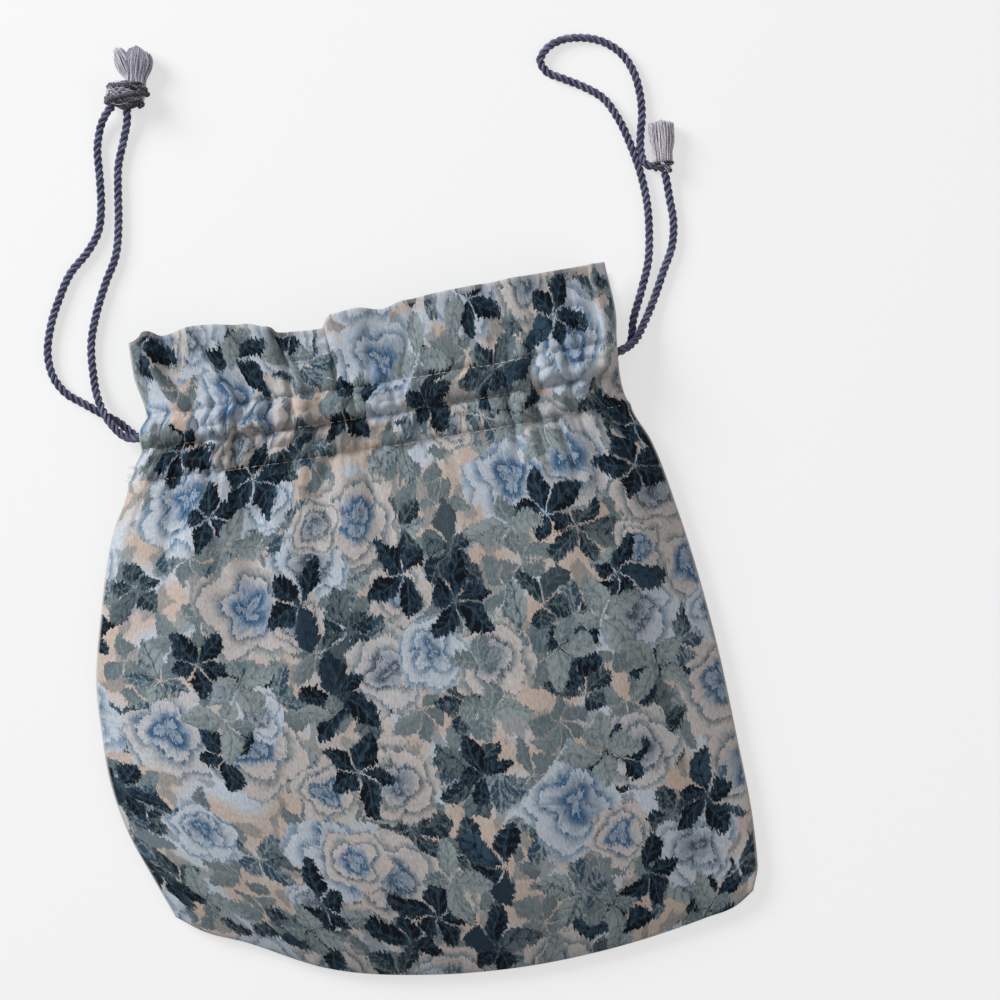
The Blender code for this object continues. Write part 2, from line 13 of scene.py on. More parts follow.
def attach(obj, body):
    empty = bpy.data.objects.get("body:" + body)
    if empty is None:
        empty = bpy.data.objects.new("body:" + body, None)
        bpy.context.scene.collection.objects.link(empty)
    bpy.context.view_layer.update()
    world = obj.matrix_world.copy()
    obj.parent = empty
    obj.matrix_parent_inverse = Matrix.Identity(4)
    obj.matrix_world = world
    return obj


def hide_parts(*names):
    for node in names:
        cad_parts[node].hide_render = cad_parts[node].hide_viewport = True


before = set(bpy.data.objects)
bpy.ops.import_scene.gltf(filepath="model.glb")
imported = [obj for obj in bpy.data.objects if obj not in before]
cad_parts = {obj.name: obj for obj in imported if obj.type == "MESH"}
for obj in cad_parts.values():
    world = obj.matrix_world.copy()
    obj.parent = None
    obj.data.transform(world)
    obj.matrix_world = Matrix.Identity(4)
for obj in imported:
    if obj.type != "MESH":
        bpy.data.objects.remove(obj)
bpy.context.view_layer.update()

MILLI = 0.001

# The pouch's own sizes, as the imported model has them
CLOTH = 0.0009  # room for one layer of cloth
BODY_HALF = 0.1225
HEADER_LEFT = 0.088
HEADER_RIGHT = 0.095
FRILL = 0.029
CHANNEL = 0.012
HEM = 0.0125
BODY = 0.2065
BOTTOM_Y = -0.1325
HEADER_TILT = 0.02
HEADER_BOW = 0.0015
CORNER_RISE = 0.0375
FRILL_DIP = 0.006
FRILL_STEP = 0.0012
BELLY = 0.025
THROAT = 0.006
VENT_EDGE = 0.0125
FRILL_EDGE = 0.010
HEM_SEAM = 0.0055
BODY_SEAM = 0.0040
SEAM_GAP = 0.0003
FRONT_GATHER = 0.0032
BACK_GATHER = 0.0012
FOLD_HEIGHT = 0.0030
FRILL_WAVE = 0.0030
CORD = 0.0034
CORD_PLAY = 0.0003
TURN_INSET = 0.011
TURN_POINTS = 5
GROUND_PLAY = 0.0001

BACK_CORD_Z = CLOTH + BACK_GATHER + CORD_PLAY + CORD / 2
BACK_ROOF = BACK_CORD_Z + CORD / 2 + CORD_PLAY
FRONT_CORD_Z = BACK_ROOF + CLOTH + THROAT + CLOTH + CORD_PLAY + CORD / 2
TUNNEL_HALF = CORD / 2 + CORD_PLAY
CORD_REST = CORD / 2 + GROUND_PLAY

# Shares along the pouch, as (station, share), and across it, as (u, share). Stations and u are explained at
# row_y. The frill's shape is (u, rise, lift), and a soft fold is (u, drift, half width, share, run).
LEFT_FLARE = (
    (0, 0.08), (0.4, 0.07), (1, -0.02), (1.5, 0.08), (2, 0.09), (2.5, 0.2), (3, 0.31), (3.11, 0.56),
    (3.28, 0.81), (3.5, 1.0), (3.6, 1.0), (3.8, 0.85), (3.9, 0.66), (4, 0.46))
RIGHT_FLARE = (
    (0, 0.0), (0.7, 0.05), (1, 0.01), (2, -0.01), (2.5, 0.01), (3, 0.09), (3.08, 0.31), (3.22, 0.54),
    (3.48, 0.82), (3.7, 0.94), (3.86, 1.0), (3.95, 0.98), (4, 0.87))
BOTTOM_RISE = ((0, 1.0), (0.04, 0.83), (0.112, 0.65), (0.245, 0.27), (0.406, 0.064), (0.57, 0.0),
               (0.74, 0.061), (0.91, 0.24), (0.97, 0.33), (1, 0.45))
FRILL_SHAPE = ((0, -0.07, 0.0), (0.045, 0.4, 0.9), (0.073, 0.07, -0.5), (0.137, 0.4, 0.5),
               (0.242, 0.08, 0.9), (0.29, -0.33, 0.7), (0.32, -0.83, -0.8), (0.395, -0.98, -1.0),
               (0.425, -0.13, 0.6), (0.48, 0.02, 0.9), (0.53, -0.27, 0.2), (0.575, 0.02, -0.2),
               (0.69, 0.18, 0.2), (0.81, 0.22, 0.5), (0.93, 0.22, 0.2), (1, 0.25, -0.3))
FRONT_GATHERS = (
    (0, 0.3), (0.022, 0.8), (0.05, 0.15), (0.077, 0.8), (0.11, 0.0), (0.155, 1.0), (0.2, 0.05),
    (0.233, 0.8), (0.265, 0.1), (0.291, 0.7), (0.313, 0.1), (0.345, 0.9), (0.38, 0.05), (0.418, 0.8),
    (0.48, 0.1), (0.546, 0.5), (0.6, 0.1), (0.765, 0.0), (0.79, 0.8), (0.82, 0.05), (0.862, 1.0),
    (0.9, 0.1), (0.933, 0.8), (0.955, 0.2), (0.975, 0.6), (1, 0.2))
BACK_GATHERS = (
    (0, 0.0), (0.06, 0.9), (0.13, 0.0), (0.2, 1.0), (0.27, 0.0), (0.34, 0.7), (0.42, 0.0), (0.56, 0.4),
    (0.68, 0.0), (0.77, 0.9), (0.83, 0.0), (0.9, 1.0), (0.96, 0.1), (1, 0.0))
FRONT_PINCH = ((0, 0), (0.6, 0.3), (1, 0.5), (1.2, 1), (1.8, 1), (2, 0.45), (2.5, 0.8), (3, 0.5), (3.15, 0.4),
               (3.35, 0))
BACK_PINCH = ((0, 0.4), (1, 1), (2, 1), (3, 0.6), (3.15, 0))
SOFT_FOLDS = ((0.045, -0.01, 0.03, 0.5, 0.3), (0.17, -0.02, 0.06, 1.0, 0.36), (0.30, 0.03, 0.035, 0.8, 0.5),
              (0.43, 0.02, 0.05, 0.5, 0.4), (0.62, 0.0, 0.07, 0.4, 0.3), (0.80, 0.03, 0.035, 0.8, 0.34),
              (0.90, 0.04, 0.03, 0.7, 0.3))
BELLY_LINE = ((3, 0.64), (3.08, 0.75), (3.25, 0.91), (3.5, 1.0), (3.75, 0.98), (4, 0.94))

# Free routes of the cords from the channel's end to the knot, in millimetres: (x, y, lift off the ground)
LEFT_FRONT_ROUTE = ((-96.5, 91.5, 8), (-103, 98.5, 4.6), (-106.6, 108, 1.8), (-107.4, 118.7, 0),
    (-106.5, 130.4, 0), (-103.1, 141, 0), (-97.5, 153.2, 0), (-92.7, 162, 0), (-89.5, 175.8, 0),
    (-88.2, 186.4, 0), (-86.6, 197.1, 0), (-83, 207.2, 0.4), (-80.6, 214, 1.8), (-80.1, 217.1, 2.6))
LEFT_BACK_ROUTE = ((-94.5, 92.5, 0.8), (-99.9, 98, 0), (-106.8, 102.9, 0), (-112.5, 107.2, 0),
    (-119.2, 112.5, 0), (-122.9, 118.9, 0), (-124, 126.6, 0), (-121.2, 139.1, 0), (-116.5, 149.1, 0),
    (-110.9, 158.2, 0), (-103, 165.7, 0), (-98.1, 172.4, 0), (-95.3, 183.2, 0), (-94.5, 192.5, 0),
    (-93, 208.3, 0.2), (-90.2, 215, 1.4), (-86.6, 219.2, 2.6))
RIGHT_FRONT_ROUTE = ((102, 101, 6.7), (107.8, 108.5, 1.8), (112.9, 117.3, 0), (117.9, 127.3, 0),
    (122.8, 137.2, 0), (124.5, 146.4, 0), (124.2, 155.2, 0.2), (124, 161, 0.8), (123.8, 163.6, 1.1))
RIGHT_BACK_ROUTE = ((100, 100, 1.3), (104, 111, 0), (108.9, 122.2, 0), (112.7, 132.3, 0),
    (114.5, 142.7, 0), (115.3, 154, 0), (114.4, 166.3, 0), (112.2, 177.2, 0), (108.5, 189.2, 0),
    (104, 197.3, 0), (96.5, 203.1, 0), (89.2, 207.2, 0), (83.4, 210.8, 0), (81.7, 215, 0), (85, 219.6, 0),
    (91.2, 222, 0), (98.2, 221.9, 0), (107.1, 219, 0), (113.2, 213.8, 0), (116.9, 206.6, 0),
    (118.4, 197.1, 0), (118, 188.5, 0), (116.4, 181, 0), (115.7, 174, 0.2), (116.6, 169.8, 0.8),
    (119, 168.4, 1.1))

# The view: straight down, turned so that the pouch leans to the left
VIEW_CENTRE = (0.0427, 0.0479)
VIEW_UP = (0.1374, 0.9905, 0)
VIEW_WIDTH = 0.39
LENS = 100
SENSOR = 36

# What the scene adds to those sizes
FABRIC = 0.0006  # thickness of the cotton
CUT_WIDTH = 0.250  # a panel's width before it is gathered
PRINT_SCALE = 10  # cloth coordinates are kept in tenths of a metre
STITCH, STITCH_SHOWN = 0.0029, 0.0023  # spacing of the stitches, and the thread that shows of each
THREAD = 0.00036
STRANDS = 3
KNOT_LEFT = (0.0076, 0.0060, 0.0050)  # half sizes of the knots and tufts, across, along and up
KNOT_RIGHT = (0.0033, 0.0030, 0.0030)
KNOT_LEFT_AT = (-0.0795, 0.2236)
KNOT_RIGHT_AT = (0.1236, 0.1680)
KNOT_TURN = -8
TUFT_LEFT_OUTER = (0.0034, 0.0066, 0.0031)
TUFT_LEFT_INNER = (0.0057, 0.0068, 0.0043)
TUFT_RIGHT = (0.0049, 0.0071, 0.0036)
TUFT_LEFT_OUTER_AT = (0.0023, 16)
TUFT_LEFT_INNER_AT = (0.0047, -14)
TUFT_RIGHT_AT = (0.0001, -4)
TUFT_GAP = 0.0004
TUFT_NECK = 0.5
KNOT_LEAD = 0.0022  # how far a cord's end runs on into its knot
CORD_LEAD = 0.0082  # length of one whole turn of a cord's strands


# Curves and noise

def smooth(table, at):
    """Values at places on a smooth curve through (place, value) pairs, which stays between its points."""
    places, values = np.array(table, float).T
    slopes = np.gradient(values, places)
    rises = np.abs(np.diff(values) / np.diff(places))
    most = 2 * np.minimum(np.append(rises, rises[-1]), np.insert(rises, 0, rises[0]))
    return hermite(places, values, np.clip(slopes, -most, most), at)


def hermite(places, values, slopes, at):
    at = np.asarray(at, float)
    i = np.clip(np.searchsorted(places, at) - 1, 0, len(places) - 2)
    width = places[i + 1] - places[i]
    t = (at - places[i]) / width
    blend = t * t * (3 - 2 * t)
    bow = width * t * (1 - t) * ((1 - t) * slopes[i] - t * slopes[i + 1])
    return values[i] + (values[i + 1] - values[i]) * blend + bow


def waves(table, at):
    """Values at places on a row of crests and valleys, level at each."""
    places, values = np.array(table, float).T
    at = np.asarray(at, float)
    i = np.clip(np.searchsorted(places, at) - 1, 0, len(places) - 2)
    t = (at - places[i]) / (places[i + 1] - places[i])
    return values[i] + (values[i + 1] - values[i]) * (1 - np.cos(np.pi * t)) / 2


def straight(table, at):
    places, values = zip(*table)
    return np.interp(at, places, values)


def mix(a, b, t):
    return a + (b - a) * t


def ease(start, end, at):
    t = np.clip((np.asarray(at, float) - start) / (end - start), 0, 1)
    return t * t * (3 - 2 * t)


def noise(x, y, seed):
    """Smooth noise between -1 and 1, with one bump to the unit."""
    table = np.random.default_rng(seed).uniform(-1, 1, (256, 256))
    x, y = np.broadcast_arrays(np.asarray(x, float), np.asarray(y, float))
    i, j = np.floor(x).astype(int), np.floor(y).astype(int)
    s, t = x - i, y - j
    s, t = s * s * (3 - 2 * s), t * t * (3 - 2 * t)
    corner = [table[(i + a) % 256, (j + b) % 256] for a in (0, 1) for b in (0, 1)]
    return mix(mix(corner[0], corner[1], t), mix(corner[2], corner[3], t), s)


# The pouch's surfaces. A place on a panel is u, from its left side at 0 to its right side at 1, and
# a station: 0 at the mouth, 1 to 3 at the stitched rows and 4 at the bottom seam.

def row_y(x, station):
    down = np.where(station < 2, CHANNEL * (station - 1), CHANNEL + HEM * (station - 2))
    hem_y = BOTTOM_Y + BODY
    return hem_y + CHANNEL + HEM - down + HEADER_TILT * x + HEADER_BOW * (x / HEADER_LEFT) ** 2


def pairs(u, station):
    """The two as arrays of one shape."""
    return np.broadcast_arrays(np.asarray(u, float), np.asarray(station, float))


def bottom_y(u):
    return BOTTOM_Y + CORNER_RISE * smooth(BOTTOM_RISE, u)


def plan(u, station, is_front=True):
    """Place of a panel's point in the view from above."""
    u, station = pairs(u, station)
    left = -mix(HEADER_LEFT, BODY_HALF, smooth(LEFT_FLARE, station))
    right = mix(HEADER_RIGHT, BODY_HALF, smooth(RIGHT_FLARE, station))
    x = mix(left, right, u)
    rise = FRILL_DIP * waves([(at, rise) for at, rise, _ in FRILL_SHAPE], u)
    length = FRILL + (rise if is_front else np.minimum(rise, 0) - FRILL_STEP)
    frill = row_y(x, 1) + length * (1 - station)
    body = mix(row_y(x, 3), bottom_y(u), station - 3)
    return x, np.where(station < 1, frill, np.where(station <= 3, row_y(x, station), body))


def tunnel(station):
    """Share of the channel's full height, which falls to nothing at its two stitched rows."""
    inside = (station > 1) & (station < 2)
    full = np.minimum(1.0, 1.25 * (1 - np.abs(2 * (station - 1.5)) ** 5))
    return np.where(inside, full, 0.0)


def bulge(station):
    """The same on the outside, where the cloth between the rows is a soft roll."""
    inside = (station > 1) & (station < 2)
    return np.where(inside, 1 - np.abs(2 * (station - 1.5)) ** 2.3, 0.0)


def edge_rise(u, station):
    power = mix(8, 4, ease(3, 3.25, station))
    below = np.maximum(station - 3, 0) ** 7
    return (1 - np.abs(2 * u - 1) ** power) * (1 - below)


def seam_z(station):
    return mix(HEM_SEAM, BODY_SEAM, ease(3, 3.3, station))


def front_middle(u, station):
    corners = mix(FRILL_EDGE, VENT_EDGE, ease(0, 1, station))
    sewn = HEM_SEAM + SEAM_GAP / 2 + CLOTH
    edge = mix(corners, sewn, ease(1.5, 3, station))
    lift = waves([(at, lift) for at, _, lift in FRILL_SHAPE], u) * FRILL_WAVE * (1 - ease(0, 1, station))
    return mix(edge, FRONT_CORD_Z, edge_rise(u, station)) + lift


def gather(u, station):
    return FRONT_GATHER * straight(FRONT_PINCH, station) * waves(FRONT_GATHERS, u)


def soft_fold(u, station):
    total = 0.0
    for place, drift, half_width, share, run in SOFT_FOLDS:
        t = (station - 3) / run
        off = (u - place - drift * t) / (half_width * (1 + np.clip(t, 0, 1)))
        bump = share * np.cos(np.clip(off, -1, 1) * np.pi / 2) ** 2 * np.sin(np.pi * (t + 0.1) / 1.1)
        total = total + np.where((t > -0.1) & (t < 1), bump, 0)
    return FOLD_HEIGHT * total


def front_heights(u, station):
    """(top face, inner face) of the front panel. The inner face is its lining's, where it has one."""
    u, station = pairs(u, station)
    middle = front_middle(u, station)
    row_gather = gather(u, np.where(station < 1.5, 1.0, 2.0))
    full, soft = tunnel(station), bulge(station)
    in_tunnel = (station > 1) & (station < 2)
    here = gather(u, station)
    top = middle + np.where(in_tunnel, mix(row_gather, here, soft) + TUNNEL_HALF * soft, here) + CLOTH
    low = middle + np.where(in_tunnel, row_gather * (1 - full) - TUNNEL_HALF * full, here) - CLOTH
    rest = seam_z(station) + SEAM_GAP / 2 + mix(2 * CLOTH, CLOTH, ease(3, 3.1, station))
    body = mix(rest, BELLY * smooth(BELLY_LINE, station), edge_rise(u, station))
    body = body + here + soft_fold(u, station) * edge_rise(u, station)
    return np.where(station > 3, body, top), np.where(station > 3, body - CLOTH, low)


def back_heights(u, station):
    """(underside, inner face) of the back panel. The inner face is its lining's, where it has one."""
    u, station = pairs(u, station)
    full = tunnel(station)
    edge = 1 - (1 - ease(0.7, 1, np.abs(2 * u - 1)) ** 2) * (1 - ease(3.8, 4, station) ** 2)
    low = seam_z(station) - SEAM_GAP / 2 - mix(2 * CLOTH, CLOTH, ease(3, 3.1, station))
    gathered = BACK_GATHER * straight(BACK_PINCH, station) * waves(BACK_GATHERS, u)
    under = low * edge * ease(2, 3, station) + gathered
    ceiling = mix(under + CLOTH, BACK_ROOF, full)
    inside = np.where(station > 3, under + CLOTH, np.where(full > 0, ceiling + CLOTH, under + 2 * CLOTH))
    return under, inside


# Creases and folds of the front cloth, as strokes in the view from above, in millimetres:
# (points of the stroke, half width, height, lean). As the stroke is followed, a leaning one is steep on
# its right side at +1 and on its left at -1. Most don't lean.
STROKES = (
    # the turned-back ear at the left end of the frill, and the hollow beside it
    (((-84, 129), (-82, 118), (-77, 106), (-71, 98)), 3.0, 3.4, 0.8),
    (((-78.5, 128), (-77, 116), (-72, 105), (-67, 98)), 1.9, -2.2),
    # the fold that runs down across the frill to the first dark gather
    (((-66, 125), (-61, 113), (-55, 103), (-52, 96)), 2.6, 2.6, -0.7),
    (((-69, 124), (-65, 113), (-59, 103), (-57, 97)), 1.7, -1.8),
    (((-50, 126), (-47, 116), (-46, 105)), 3.0, -0.9),
    # the lobe that hangs over the recess
    (((-34, 127), (-31.5, 120), (-27.5, 110), (-26.5, 101), (-27, 94)), 3.6, 4.0, 0.9),
    (((-29.5, 123), (-26, 113), (-23.5, 102), (-23.5, 94)), 2.4, -2.6),
    # the edge of the front lobe beyond the recess
    (((-16.5, 124), (-16, 112), (-15, 101)), 2.6, 2.8, -0.85),
    (((20, 127), (17, 115), (13, 104), (11.5, 96)), 2.4, -1.7),
    (((3, 126), (1, 114), (0, 101)), 3.2, -0.9),
    # deep folds across the channel and the hem
    (((-69, 101), (-68, 92), (-67.5, 84), (-67, 74), (-68, 64)), 1.5, -3.2),
    (((-61.5, 101), (-61.5, 93), (-61, 87)), 1.4, -2.6),
    (((-54.5, 94), (-55, 86), (-56, 78), (-53, 67)), 1.4, -2.8),
    (((-48, 98), (-46.5, 90), (-48, 82), (-45, 72), (-41, 60)), 1.4, -2.4),
    (((-39.5, 101), (-38.8, 92), (-40, 86)), 1.4, -2.1),
    (((-31.5, 103), (-31, 93), (-33, 86)), 1.3, -2.2),
    (((-19, 101), (-19.5, 92), (-18, 84)), 1.5, -1.9),
    (((-9, 99), (-8, 91), (-9, 84)), 1.5, -1.3),
    # puckers at the right of the hem, fanning down into the body
    (((51.5, 94), (51.5, 82), (52, 72), (51, 58)), 1.6, -2.6),
    (((61.5, 92), (60.5, 80), (61, 70), (64, 54)), 1.5, -2.4),
    (((70, 94), (68.5, 82), (69.5, 72), (74, 55)), 1.5, -2.2),
    (((77, 98), (76, 86), (78, 74), (85, 55)), 1.5, -2.2),
    (((84, 100), (84, 88), (88, 76), (97, 60)), 1.6, -1.9),
    (((66, 110), (64, 102), (63, 94)), 2.0, -1.2),
    (((80, 123), (81, 110), (80, 100), (79, 92)), 2.2, -1.6),
    (((90, 132), (91, 120), (92, 106)), 2.2, 1.6, 0.8),
    # ripples that run down from the hem on the left
    (((-79, 80), (-82, 66), (-86, 48)), 3.0, -1.7),
    (((-66, 70), (-64, 54), (-62, 34)), 3.4, 1.5, 0.4),
    (((-58, 72), (-52, 56), (-44, 34), (-40, 16)), 3.0, -1.8),
    (((-40, 70), (-31, 55), (-24, 36)), 3.2, 1.6, 0.6),
    (((-33, 70), (-24, 54), (-16, 38)), 2.6, -1.2),
    (((-12, 76), (-6, 62), (-4, 42)), 3.6, -1.4),
    (((8, 76), (10, 60), (8, 44)), 4.0, -1.0),
    (((26, 74), (28, 60), (27, 42)), 4.5, -0.9),
    # soft diagonal slack across the body
    (((-104, 30), (-80, 4), (-62, -30)), 9.0, 1.5),
    (((98, 36), (84, 4), (80, -34)), 10.0, 1.5),
    (((-70, -60), (-30, -74), (10, -70)), 10.0, -1.3),
    (((30, -10), (52, -40), (60, -74)), 11.0, 1.3),
    (((-20, 30), (-14, -6), (-30, -40)), 12.0, -1.1),
    (((88, 0), (100, -40), (104, -84)), 9.0, -1.0),
    (((-98, -20), (-92, -58), (-70, -92)), 9.0, 1.0),
)
STROKE_STEP = 0.002
FAR = 1e9
STEEP, GENTLE = 0.72, 0.9  # how much a leaning stroke narrows on its steep side and widens on the other
LEAN_PUSH = 0.55  # how far it leans over, as a share of its height

# Fine relief of the front cloth, in metres
GATHER_HEIGHTS = (0.0025, 0.0013, 0.0018)  # of broad folds, fine folds, and lumps in the channel and the hem
ROW_DEPTHS = ((1, 0.0011), (2, 0.0012), (3, 0.0009))  # how deep each stitched row is drawn in
ROW_HALF = 0.0011
SWELL, SWELL_AT, SWELL_HALF = 0.0006, 0.0032, 0.0018  # the cloth swells on both sides of a row
SIDE_PUCKER, BOTTOM_PUCKER = 0.0008, 0.0009  # at the seams
SEAM_FLAT = 0.0012  # the cloth is flat this close to a seam
SLACK, RIPPLE = 0.0013, 0.0009  # of the body, and of the frill
SIDE_FADE, BOTTOM_FADE = 0.004, 0.006  # widths over which the relief dies out towards the seams
BACK_RELIEF = 0.0002
LINING_SHARE = 0.6  # share of the relief that the lining follows

# How strongly the cloth is gathered across the pouch: it is nearly flat right of the middle
GATHER_SHARE = ((0, 1), (0.3, 1.0), (0.42, 0.9), (0.53, 0.75), (0.6, 0.35), (0.72, 0.35), (0.78, 1.0), (1, 1))


def stroke_push(x, y):
    """(rise, sideways shift in x, in y) that the strokes give to points."""
    rise, shift_x, shift_y = np.zeros_like(x), np.zeros_like(x), np.zeros_like(x)
    for route, half_width, height, *leaning in STROKES:
        lean = leaning[0] if leaning else 0.0
        points = even_line(np.array(route, float) * MILLI, STROKE_STEP)
        # the nearest place on the stroke: distance, signed distance, place along it, and direction across it
        nearest = [np.full(x.shape, FAR)] + [np.zeros_like(x) for _ in range(4)]
        total = len(points) - 1
        for k, (a, b) in enumerate(zip(points, points[1:])):
            step = b - a
            size = math.hypot(*step)
            t = np.clip(((x - a[0]) * step[0] + (y - a[1]) * step[1]) / size ** 2, 0, 1)
            off_x, off_y = x - a[0] - t * step[0], y - a[1] - t * step[1]
            far = np.hypot(off_x, off_y)
            is_right = (off_x * step[1] - off_y * step[0]) / size >= 0
            here = (far, np.where(is_right, far, -far), (k + t) / total, step[1] / size, -step[0] / size)
            nearer = far < nearest[0]
            nearest = [np.where(nearer, new, old) for new, old in zip(here, nearest)]
        _, side, along, normal_x, normal_y = nearest
        steep, gentle = 1 - STEEP * abs(lean), 1 + GENTLE * abs(lean)
        reach = half_width * MILLI * np.where(side * lean > 0, steep, gentle)
        shape = np.exp(-np.abs(side / reach) ** (2 if height > 0 else 1.35))
        strength = np.sin(np.pi * np.clip(mix(0.12, 0.88, along), 0, 1)) ** 0.7
        rise += height * MILLI * shape * strength
        push = abs(height) * MILLI * shape * strength * lean * LEAN_PUSH
        shift_x += normal_x * push
        shift_y += normal_y * push
    return rise, shift_x, shift_y


def distances(points):
    """How far each point is from the first, along the line."""
    return np.concatenate([[0], np.cumsum(np.linalg.norm(np.diff(points, axis=0), axis=1))])


def even_line(points, step):
    """Points at even steps along a smooth curve through a few points."""
    points = np.asarray(points, float)
    chord = distances(points)
    count = max(2, int(round(chord[-1] / step)))
    at = np.linspace(0, chord[-1], count + 1)
    axes = [hermite(chord, values, np.gradient(values, chord), at) for values in points.T]
    return np.stack(axes, axis=1)


def crease(value):
    """Round crests with sharp valleys between them, from noise: 0 in a valley and up to 1 on a crest."""
    return np.abs(value) ** 0.75


def wrinkles(u, station, x, y):
    """Fine relief of the front: gathers at the rows, grooves along them, puckers at the seams, and slack."""
    cloth_x = (u - 0.5) * CUT_WIDTH
    strength = straight(GATHER_SHARE, u)
    drift = 0.9 * noise(cloth_x / 0.012, y / 0.013, 3)
    broad = crease(noise(cloth_x / 0.0062 + drift, y / 0.030, 1))
    fine = crease(noise(cloth_x / 0.0030 + drift, y / 0.016, 2))
    lumps = crease(noise(cloth_x / 0.0052 + 0.6 * drift, y / 0.0055, 14))
    in_channel = np.exp(-((station - 1.5) / 0.62) ** 2)
    in_hem = np.exp(-((station - 2.45) / 0.62) ** 2)
    above = np.exp(-(np.maximum(1 - station, 0) / 0.30) ** 1.3)
    below = np.exp(-(np.maximum(station - 3, 0) / 0.085) ** 1.2)
    reach = np.where(station < 1, above, np.where(station > 3, below, 1.0))
    heights = GATHER_HEIGHTS[0] * broad + GATHER_HEIGHTS[1] * fine
    total = strength * reach * (heights + GATHER_HEIGHTS[2] * lumps * (in_channel + 0.7 * in_hem))
    for row, depth in ROW_DEPTHS:
        off = row_y(x, np.full_like(x, float(row))) - y
        pinch = 0.75 + 0.5 * noise(cloth_x / 0.006, row, 5)
        total -= depth * np.exp(-(off / ROW_HALF) ** 2)
        total += SWELL * np.exp(-((np.abs(off) - SWELL_AT) / SWELL_HALF) ** 2) * pinch * strength
    left, right = x - plan(np.zeros_like(u), station)[0], plan(np.ones_like(u), station)[0] - x
    for far, seed in ((left, 6), (right, 7)):
        pucker = noise(y / 0.0045, far / 0.02, seed) * np.exp(-far / 0.007) * (station > 3.02)
        total += SIDE_PUCKER * pucker * np.clip(far / SEAM_FLAT, 0, 1)
    far = y - bottom_y(u)
    pucker = noise(cloth_x / 0.006, far / 0.02, 9) * np.exp(-np.abs(far) / 0.009) * (station > 3.5)
    total += BOTTOM_PUCKER * pucker * np.clip(far / SEAM_FLAT, 0, 1)
    slack = noise(x / 0.035 + 9, y / 0.05, 4) + 0.45 * noise(x / 0.014, y / 0.020, 12)
    total += SLACK * slack * ease(3.02, 3.3, station) * edge_rise(u, station)
    return total + RIPPLE * noise(cloth_x / 0.011 + 4, y / 0.03, 13) * (station < 1)


def front_point(u, station, lining=False):
    """Places of the front panel's cloth, at the middle of its thickness: (x, y, z)."""
    u, station = pairs(u, station)
    x, y = plan(u, station)
    top, low = front_heights(u, station)
    rise, shift_x, shift_y = stroke_push(x, y)
    inner = edge_fade(u, station)
    detail = (rise * inner + wrinkles(u, station, x, y)) * inner
    x, y = x + shift_x * inner, y + shift_y * ease(0, 0.12, station) * inner
    return x, y, low + FABRIC / 2 + LINING_SHARE * detail if lining else top - FABRIC / 2 + detail


def edge_fade(u, station):
    """Falls to 0 at the panel's sides and at the bottom seam, where the cloth is held."""
    side = np.minimum(u, 1 - u) * 2 * HEADER_LEFT
    bottom = (4 - station) * BODY
    return np.clip(side / SIDE_FADE, 0.15, 1) * np.clip(bottom / BOTTOM_FADE, 0, 1)


def back_point(u, station, lining=False):
    u, station = pairs(u, station)
    x, y = plan(u, station, is_front=False)
    under, inside = back_heights(u, station)
    fine = noise((u - 0.5) * CUT_WIDTH / 0.005, y / 0.02, 21) * straight(BACK_PINCH, station)
    return x, y, inside - FABRIC / 2 if lining else under + FABRIC / 2 + BACK_RELIEF * np.maximum(fine, 0)


# Meshes

def mesh_object(name, points, faces, material, uvs=None):
    """A shown piece of the object from its points and faces, with a uv for each point."""
    mesh = bpy.data.meshes.new(name)
    mesh.from_pydata([tuple(p) for p in points], [], [tuple(int(i) for i in f) for f in faces])
    if uvs is not None:
        layer = mesh.uv_layers.new(name="cloth")
        corners = np.array([loop.vertex_index for loop in mesh.loops])
        layer.data.foreach_set("uv", np.asarray(uvs, np.float32)[corners].ravel())
    mesh.materials.append(material)
    mesh.shade_smooth()
    made = bpy.data.objects.new(name, mesh)
    bpy.context.scene.collection.objects.link(made)
    return made


def grid_faces(rows, columns, closed=False):
    """Quads of a grid of points, row by row. A closed grid joins its last column to its first."""
    i, j = np.meshgrid(np.arange(rows - 1), np.arange(columns if closed else columns - 1), indexing="ij")
    a = i * columns + j
    b = i * columns + (j + 1) % columns
    return np.stack([a, b, b + columns, a + columns], axis=-1).reshape(-1, 4)


def tube_faces(rings, sides):
    """Faces of rings of points, closed at both ends."""
    count = rings * sides
    faces = [tuple(f) for f in grid_faces(rings, sides, closed=True)]
    return faces + [tuple(range(sides))[::-1], tuple(range(count - sides, count))]


def grid_uv(across, along, shape):
    return np.stack([np.broadcast_to(across, shape), np.broadcast_to(along, shape)], axis=-1)


# Points across a panel, and down its header, its body and its lining
FRONT_GRID = (206, 92, 112, 20)
BACK_GRID = (130, 60, 70, 24)
BODY_SPREAD = 0.92  # rows of the body lie a little closer towards the bottom
CHANNEL_SLACK, BODY_SLACK = 0.001, 0.004  # cloth that the channel's roll and the belly take up
FOLD_ANGLES = (-60, -30, 0, 30, 60)  # rows round the fold at the mouth, and how far it stands out
FOLD_REACH = 0.0001


